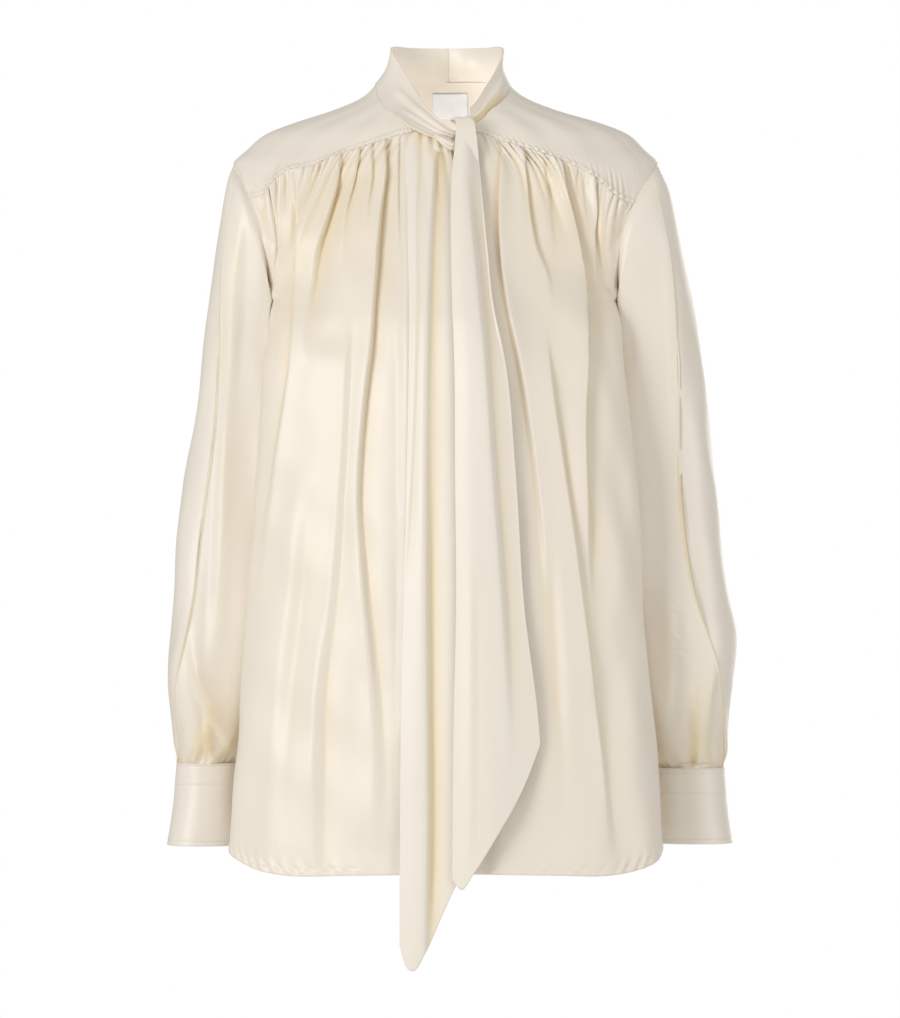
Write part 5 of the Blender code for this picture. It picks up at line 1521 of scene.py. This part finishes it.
class BlouseTrim(bpy.types.PropertyGroup):
    """The stitching and the label."""

    stitch_length: FloatProperty(
        name="Stitch Length", description="Length of one topstitch", default=0.0021, min=0.001, max=0.005,
        unit="LENGTH", precision=4,
    )
    stitch_gap: FloatProperty(
        name="Stitch Gap", description="Gap between topstitches", default=0.0006, min=0.0002, max=0.003,
        unit="LENGTH", precision=4,
    )
    thread_width: FloatProperty(
        name="Thread Width", description="Width of the sewing thread", default=0.00034, min=0.0001, max=0.001,
        unit="LENGTH", precision=5,
    )
    label_colour: FloatVectorProperty(
        name="Label Colour", description="Colour of the blank neck label", default=(0.93, 0.93, 0.96),
        min=0.0, max=1.0, subtype="COLOR", size=3,
    )


class BlouseStage(bpy.types.PropertyGroup):
    """The studio."""

    camera_distance: FloatProperty(
        name="Camera Distance", description="From the camera to the middle of the blouse",
        default=6.0, min=1.0, max=20.0, unit="LENGTH",
    )
    frame_height: FloatProperty(
        name="Frame Height", description="Height that the picture shows at the blouse",
        default=0.957, min=0.1, max=5.0, unit="LENGTH",
    )
    floor_height: FloatProperty(
        name="Floor Height", description="Height of the floor below the neck", default=-1.25, unit="LENGTH",
    )
    surround: FloatProperty(
        name="Surround", description="Brightness of the white room round the blouse", default=0.51,
        min=0.0, max=2.0,
    )
    key_power: FloatProperty(
        name="Key Power", description="Power of the large soft light at the front left", default=88.0,
        min=0.0, unit="POWER",
    )
    neck_power: FloatProperty(
        name="Neck Power", description="Power of the small light inside the neck", default=0.13,
        min=0.0, unit="POWER",
    )
    fill_power: FloatProperty(
        name="Fill Power", description="Power of the soft light at the front right", default=32.0,
        min=0.0, unit="POWER",
    )
    back_power: FloatProperty(
        name="Back Power", description="Power of the soft light behind the blouse", default=46.0,
        min=0.0, unit="POWER",
    )


# ---------------------------------------------------------------- operators


def cloth_piece(node, surface, thick, material, outside, ring=False):
    """The cloth of a node: it rides on the blouse and stands for the node, whose part it
    hides."""
    piece = shell(f"{node}_cloth", surface, thick, material, outside, ring)
    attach(piece, "root")
    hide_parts(node)
    return piece


def topstitching(node, lines, scene):
    """All of a node's rows of stitches as one piece, riding with its cloth."""
    piece = stitches(f"{node}_stitching", lines, silk_thread(scene.blouse_cloth), scene.blouse_trim)
    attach(piece, "root")
    return piece


def hemmed_panel(node, surface, outside, scene):
    """The cloth of a front or the back, and the stitching of its hem."""
    cloth, above_hem = scene.blouse_cloth, surface[2][-1:] - surface[2]
    piece = cloth_piece(node, surface, cloth.thickness, ivory_satin(cloth), outside)
    lines = [line_at(surface, above_hem, HEM_DEPTH, outside, cloth.thickness)]
    return piece, topstitching(node, lines, scene)


def clear_of_armholes(path, normals):
    """The yoke's stitched rows without their runs along the two armholes."""
    front, arm, back = YOKE_COLUMNS
    first, second = front + arm, front + arm + 2 * back - 1
    kept = slice(front), slice(first, second), slice(second + arm, None)
    return [(path[part], normals[part]) for part in kept]


class BLOUSE_OT_yoke(bpy.types.Operator):
    """Makes the shoulder yoke with its two rows of topstitching"""

    bl_idname = "blouse.yoke"
    bl_label = "Yoke"

    def execute(self, context):
        cloth, surface = context.scene.blouse_cloth, yoke_surface()
        piece = cloth_piece("yoke", surface, cloth.thickness, ivory_satin(cloth), 1)
        to_edge, lines = surface[2][-1:] - surface[2], []
        for wanted in YOKE_STITCHES:
            lines += clear_of_armholes(*line_at(surface, to_edge, wanted, 1, cloth.thickness))
        sewn = topstitching("yoke", lines, context.scene)
        return {"FINISHED"}


class BLOUSE_OT_fronts(bpy.types.Operator):
    """Makes both gathered fronts and the stitching of their hems"""

    bl_idname = "blouse.fronts"
    bl_label = "Fronts"

    def execute(self, context):
        for name, side in SIDES.items():
            surface = front_surface(name, context.scene.blouse_folds)
            piece, sewn = hemmed_panel(f"front_{name}", surface, side, context.scene)
        return {"FINISHED"}


class BLOUSE_OT_back(bpy.types.Operator):
    """Makes the gathered back and the stitching of its hem"""

    bl_idname = "blouse.back"
    bl_label = "Back"

    def execute(self, context):
        surface = back_surface(context.scene.blouse_folds)
        piece, sewn = hemmed_panel("back", surface, -1, context.scene)
        return {"FINISHED"}


class BLOUSE_OT_sleeves(bpy.types.Operator):
    """Makes both full sleeves, gathered above the cuffs"""

    bl_idname = "blouse.sleeves"
    bl_label = "Sleeves"

    def execute(self, context):
        cloth = context.scene.blouse_cloth
        for name, side in SIDES.items():
            surface, satin = sleeve_surface(name), ivory_satin(cloth)
            piece = cloth_piece(f"sleeve_{name}", surface, cloth.thickness, satin, side, ring=True)
        return {"FINISHED"}


class BLOUSE_OT_cuffs(bpy.types.Operator):
    """Makes both flared cuffs with their rows of topstitching"""

    bl_idname = "blouse.cuffs"
    bl_label = "Cuffs"

    def execute(self, context):
        cloth = context.scene.blouse_cloth
        down = runs(0.0, (0.02, 3), (0.98, 60), (1.0, 3))[:, None]
        for name, side in SIDES.items():
            surface = cuff_surface(name, down)
            piece = cloth_piece(f"cuff_{name}", surface, cloth.doubled, ivory_satin(cloth), -side)
            length = surface[2].max()
            lines = [
                line_at(surface, length - surface[2], -line % length, -side, cloth.doubled)
                for line in CUFF_STITCHES[name]
            ]
            sewn = topstitching(f"cuff_{name}", lines, context.scene)
        return {"FINISHED"}


class BLOUSE_OT_collar(bpy.types.Operator):
    """Makes both halves of the stand collar"""

    bl_idname = "blouse.collar"
    bl_label = "Collar"

    def execute(self, context):
        cloth = context.scene.blouse_cloth
        for name, side in SIDES.items():
            surface, satin = collar_surface(name), ivory_satin(cloth)
            piece = cloth_piece(f"collar_{name}", surface, cloth.doubled, satin, side)
        return {"FINISHED"}


class BLOUSE_OT_knot(bpy.types.Operator):
    """Makes the pinched roll where the tie ends cross"""

    bl_idname = "blouse.knot"
    bl_label = "Knot"

    def execute(self, context):
        satin = ivory_satin(context.scene.blouse_cloth)
        piece = cloth_piece("tie_knot", knot_surface(), KNOT_THICKNESS, satin, 1, ring=True)
        return {"FINISHED"}


class BLOUSE_OT_tie_ends(bpy.types.Operator):
    """Makes the two long tie ends"""

    bl_idname = "blouse.tie_ends"
    bl_label = "Tie Ends"

    def execute(self, context):
        cloth = context.scene.blouse_cloth
        for name in SIDES:
            surface, satin = tie_surface(name), ivory_satin(cloth)
            piece = cloth_piece(f"tie_end_{name}", surface, cloth.doubled, satin, 1)
        return {"FINISHED"}


class BLOUSE_OT_label(bpy.types.Operator):
    """Makes the blank label inside the back neck"""

    bl_idname = "blouse.label"
    bl_label = "Label"

    def execute(self, context):
        tape = label_tape(context.scene.blouse_trim)
        piece = cloth_piece("neck_label", label_surface(), LABEL_THICKNESS, tape, 1)
        return {"FINISHED"}


class BLOUSE_OT_stage(bpy.types.Operator):
    """Makes the floor, the soft lights and the camera"""

    bl_idname = "blouse.stage"
    bl_label = "Studio"

    def execute(self, context):
        stage = context.scene.blouse_stage
        angle = np.linspace(0, ROUND, FLOOR_CORNERS, endpoint=False)
        x, y = FLOOR_RADIUS * np.cos(angle), FLOOR_RADIUS * np.sin(angle)
        rim = np.stack([x, y, np.full(FLOOR_CORNERS, stage.floor_height)], axis=-1)
        floor = new_piece("floor", rim, np.arange(FLOOR_CORNERS)[None], studio_floor())
        for name, (place, size, target) in LIGHTS.items():
            soft_light(name, place, size, getattr(stage, f"{name}_power"), target)
        white_room(stage.surround)
        camera = bpy.data.cameras.new("camera")
        camera.sensor_width = SENSOR_WIDTH
        camera.lens = camera.sensor_width * stage.camera_distance / stage.frame_height
        camera.clip_end = SIGHT
        viewer = bpy.data.objects.new("camera", camera)
        viewer.location = (CAMERA_X, -stage.camera_distance, CAMERA_Z)
        viewer.rotation_euler = (np.pi / 2, 0.0, 0.0)
        context.scene.collection.objects.link(viewer)
        context.scene.camera = viewer
        context.scene.view_settings.view_transform = "Standard"
        return {"FINISHED"}


def soft_light(name, place, size, power, target):
    """A rectangular area light that faces the target."""
    light = bpy.data.lights.new(name, "AREA")
    light.shape, light.size, light.size_y, light.energy = "RECTANGLE", size[0], size[1], power
    lamp = bpy.data.objects.new(name, light)
    bpy.context.scene.collection.objects.link(lamp)
    aim = np.array(target) - np.array(place)
    flat = float(np.hypot(aim[0], aim[1]))
    lamp.location = place
    lamp.rotation_euler = (float(np.arctan2(flat, -aim[2])), 0.0, float(np.arctan2(-aim[0], aim[1])))


def white_room(surround):
    """A white surround: the camera sees it full white, and it lights less strongly."""
    world = bpy.data.worlds.new("white_room")
    world.use_nodes = True
    tree = world.node_tree
    lit, seen = tree.nodes["Background"], tree.nodes.new("ShaderNodeBackground")
    for node, colour, strength in ((lit, LIGHT_COLOUR, surround), (seen, SEEN_COLOUR, 1.0)):
        node.inputs["Color"].default_value = colour
        node.inputs["Strength"].default_value = strength
    path = tree.nodes.new("ShaderNodeLightPath")
    mix = tree.nodes.new("ShaderNodeMixShader")
    tree.links.new(path.outputs["Is Camera Ray"], mix.inputs[0])
    tree.links.new(lit.outputs[0], mix.inputs[1])
    tree.links.new(seen.outputs[0], mix.inputs[2])
    tree.links.new(mix.outputs[0], tree.nodes["World Output"].inputs["Surface"])
    bpy.context.scene.world = world


class BLOUSE_PT_panel(bpy.types.Panel):
    """Lists the blouse's pieces and their sizes"""

    bl_idname = "BLOUSE_PT_panel"
    bl_label = "Tie-Neck Blouse"
    bl_space_type = "VIEW_3D"
    bl_region_type = "UI"
    bl_category = "Blouse"

    def draw(self, context):
        scene = context.scene
        for group in (scene.blouse_cloth, scene.blouse_folds, scene.blouse_trim, scene.blouse_stage):
            box = self.layout.box()
            for name in group.bl_rna.properties.keys():
                if name not in ("rna_type", "name"):
                    box.prop(group, name)
        column = self.layout.column(align=True)
        for operator in OPERATORS:
            column.operator(operator.bl_idname)


GROUPS = {
    "blouse_cloth": BlouseCloth,
    "blouse_folds": BlouseFolds,
    "blouse_trim": BlouseTrim,
    "blouse_stage": BlouseStage,
}
OPERATORS = (
    BLOUSE_OT_yoke, BLOUSE_OT_fronts, BLOUSE_OT_back, BLOUSE_OT_sleeves, BLOUSE_OT_cuffs, BLOUSE_OT_collar,
    BLOUSE_OT_knot, BLOUSE_OT_tie_ends, BLOUSE_OT_label, BLOUSE_OT_stage,
)


def register():
    for made in (*GROUPS.values(), *OPERATORS, BLOUSE_PT_panel):
        bpy.utils.register_class(made)
    for name, group in GROUPS.items():
        setattr(bpy.types.Scene, name, PointerProperty(type=group))


def unregister():
    for name in GROUPS:
        delattr(bpy.types.Scene, name)
    for made in (BLOUSE_PT_panel, *reversed(OPERATORS), *reversed(GROUPS.values())):
        bpy.utils.unregister_class(made)


def main():
    """Registers the add-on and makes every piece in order."""
    register()
    for operator in OPERATORS:
        group, name = operator.bl_idname.split(".")
        getattr(getattr(bpy.ops, group), name)()


if __name__ == "__main__":
    main()
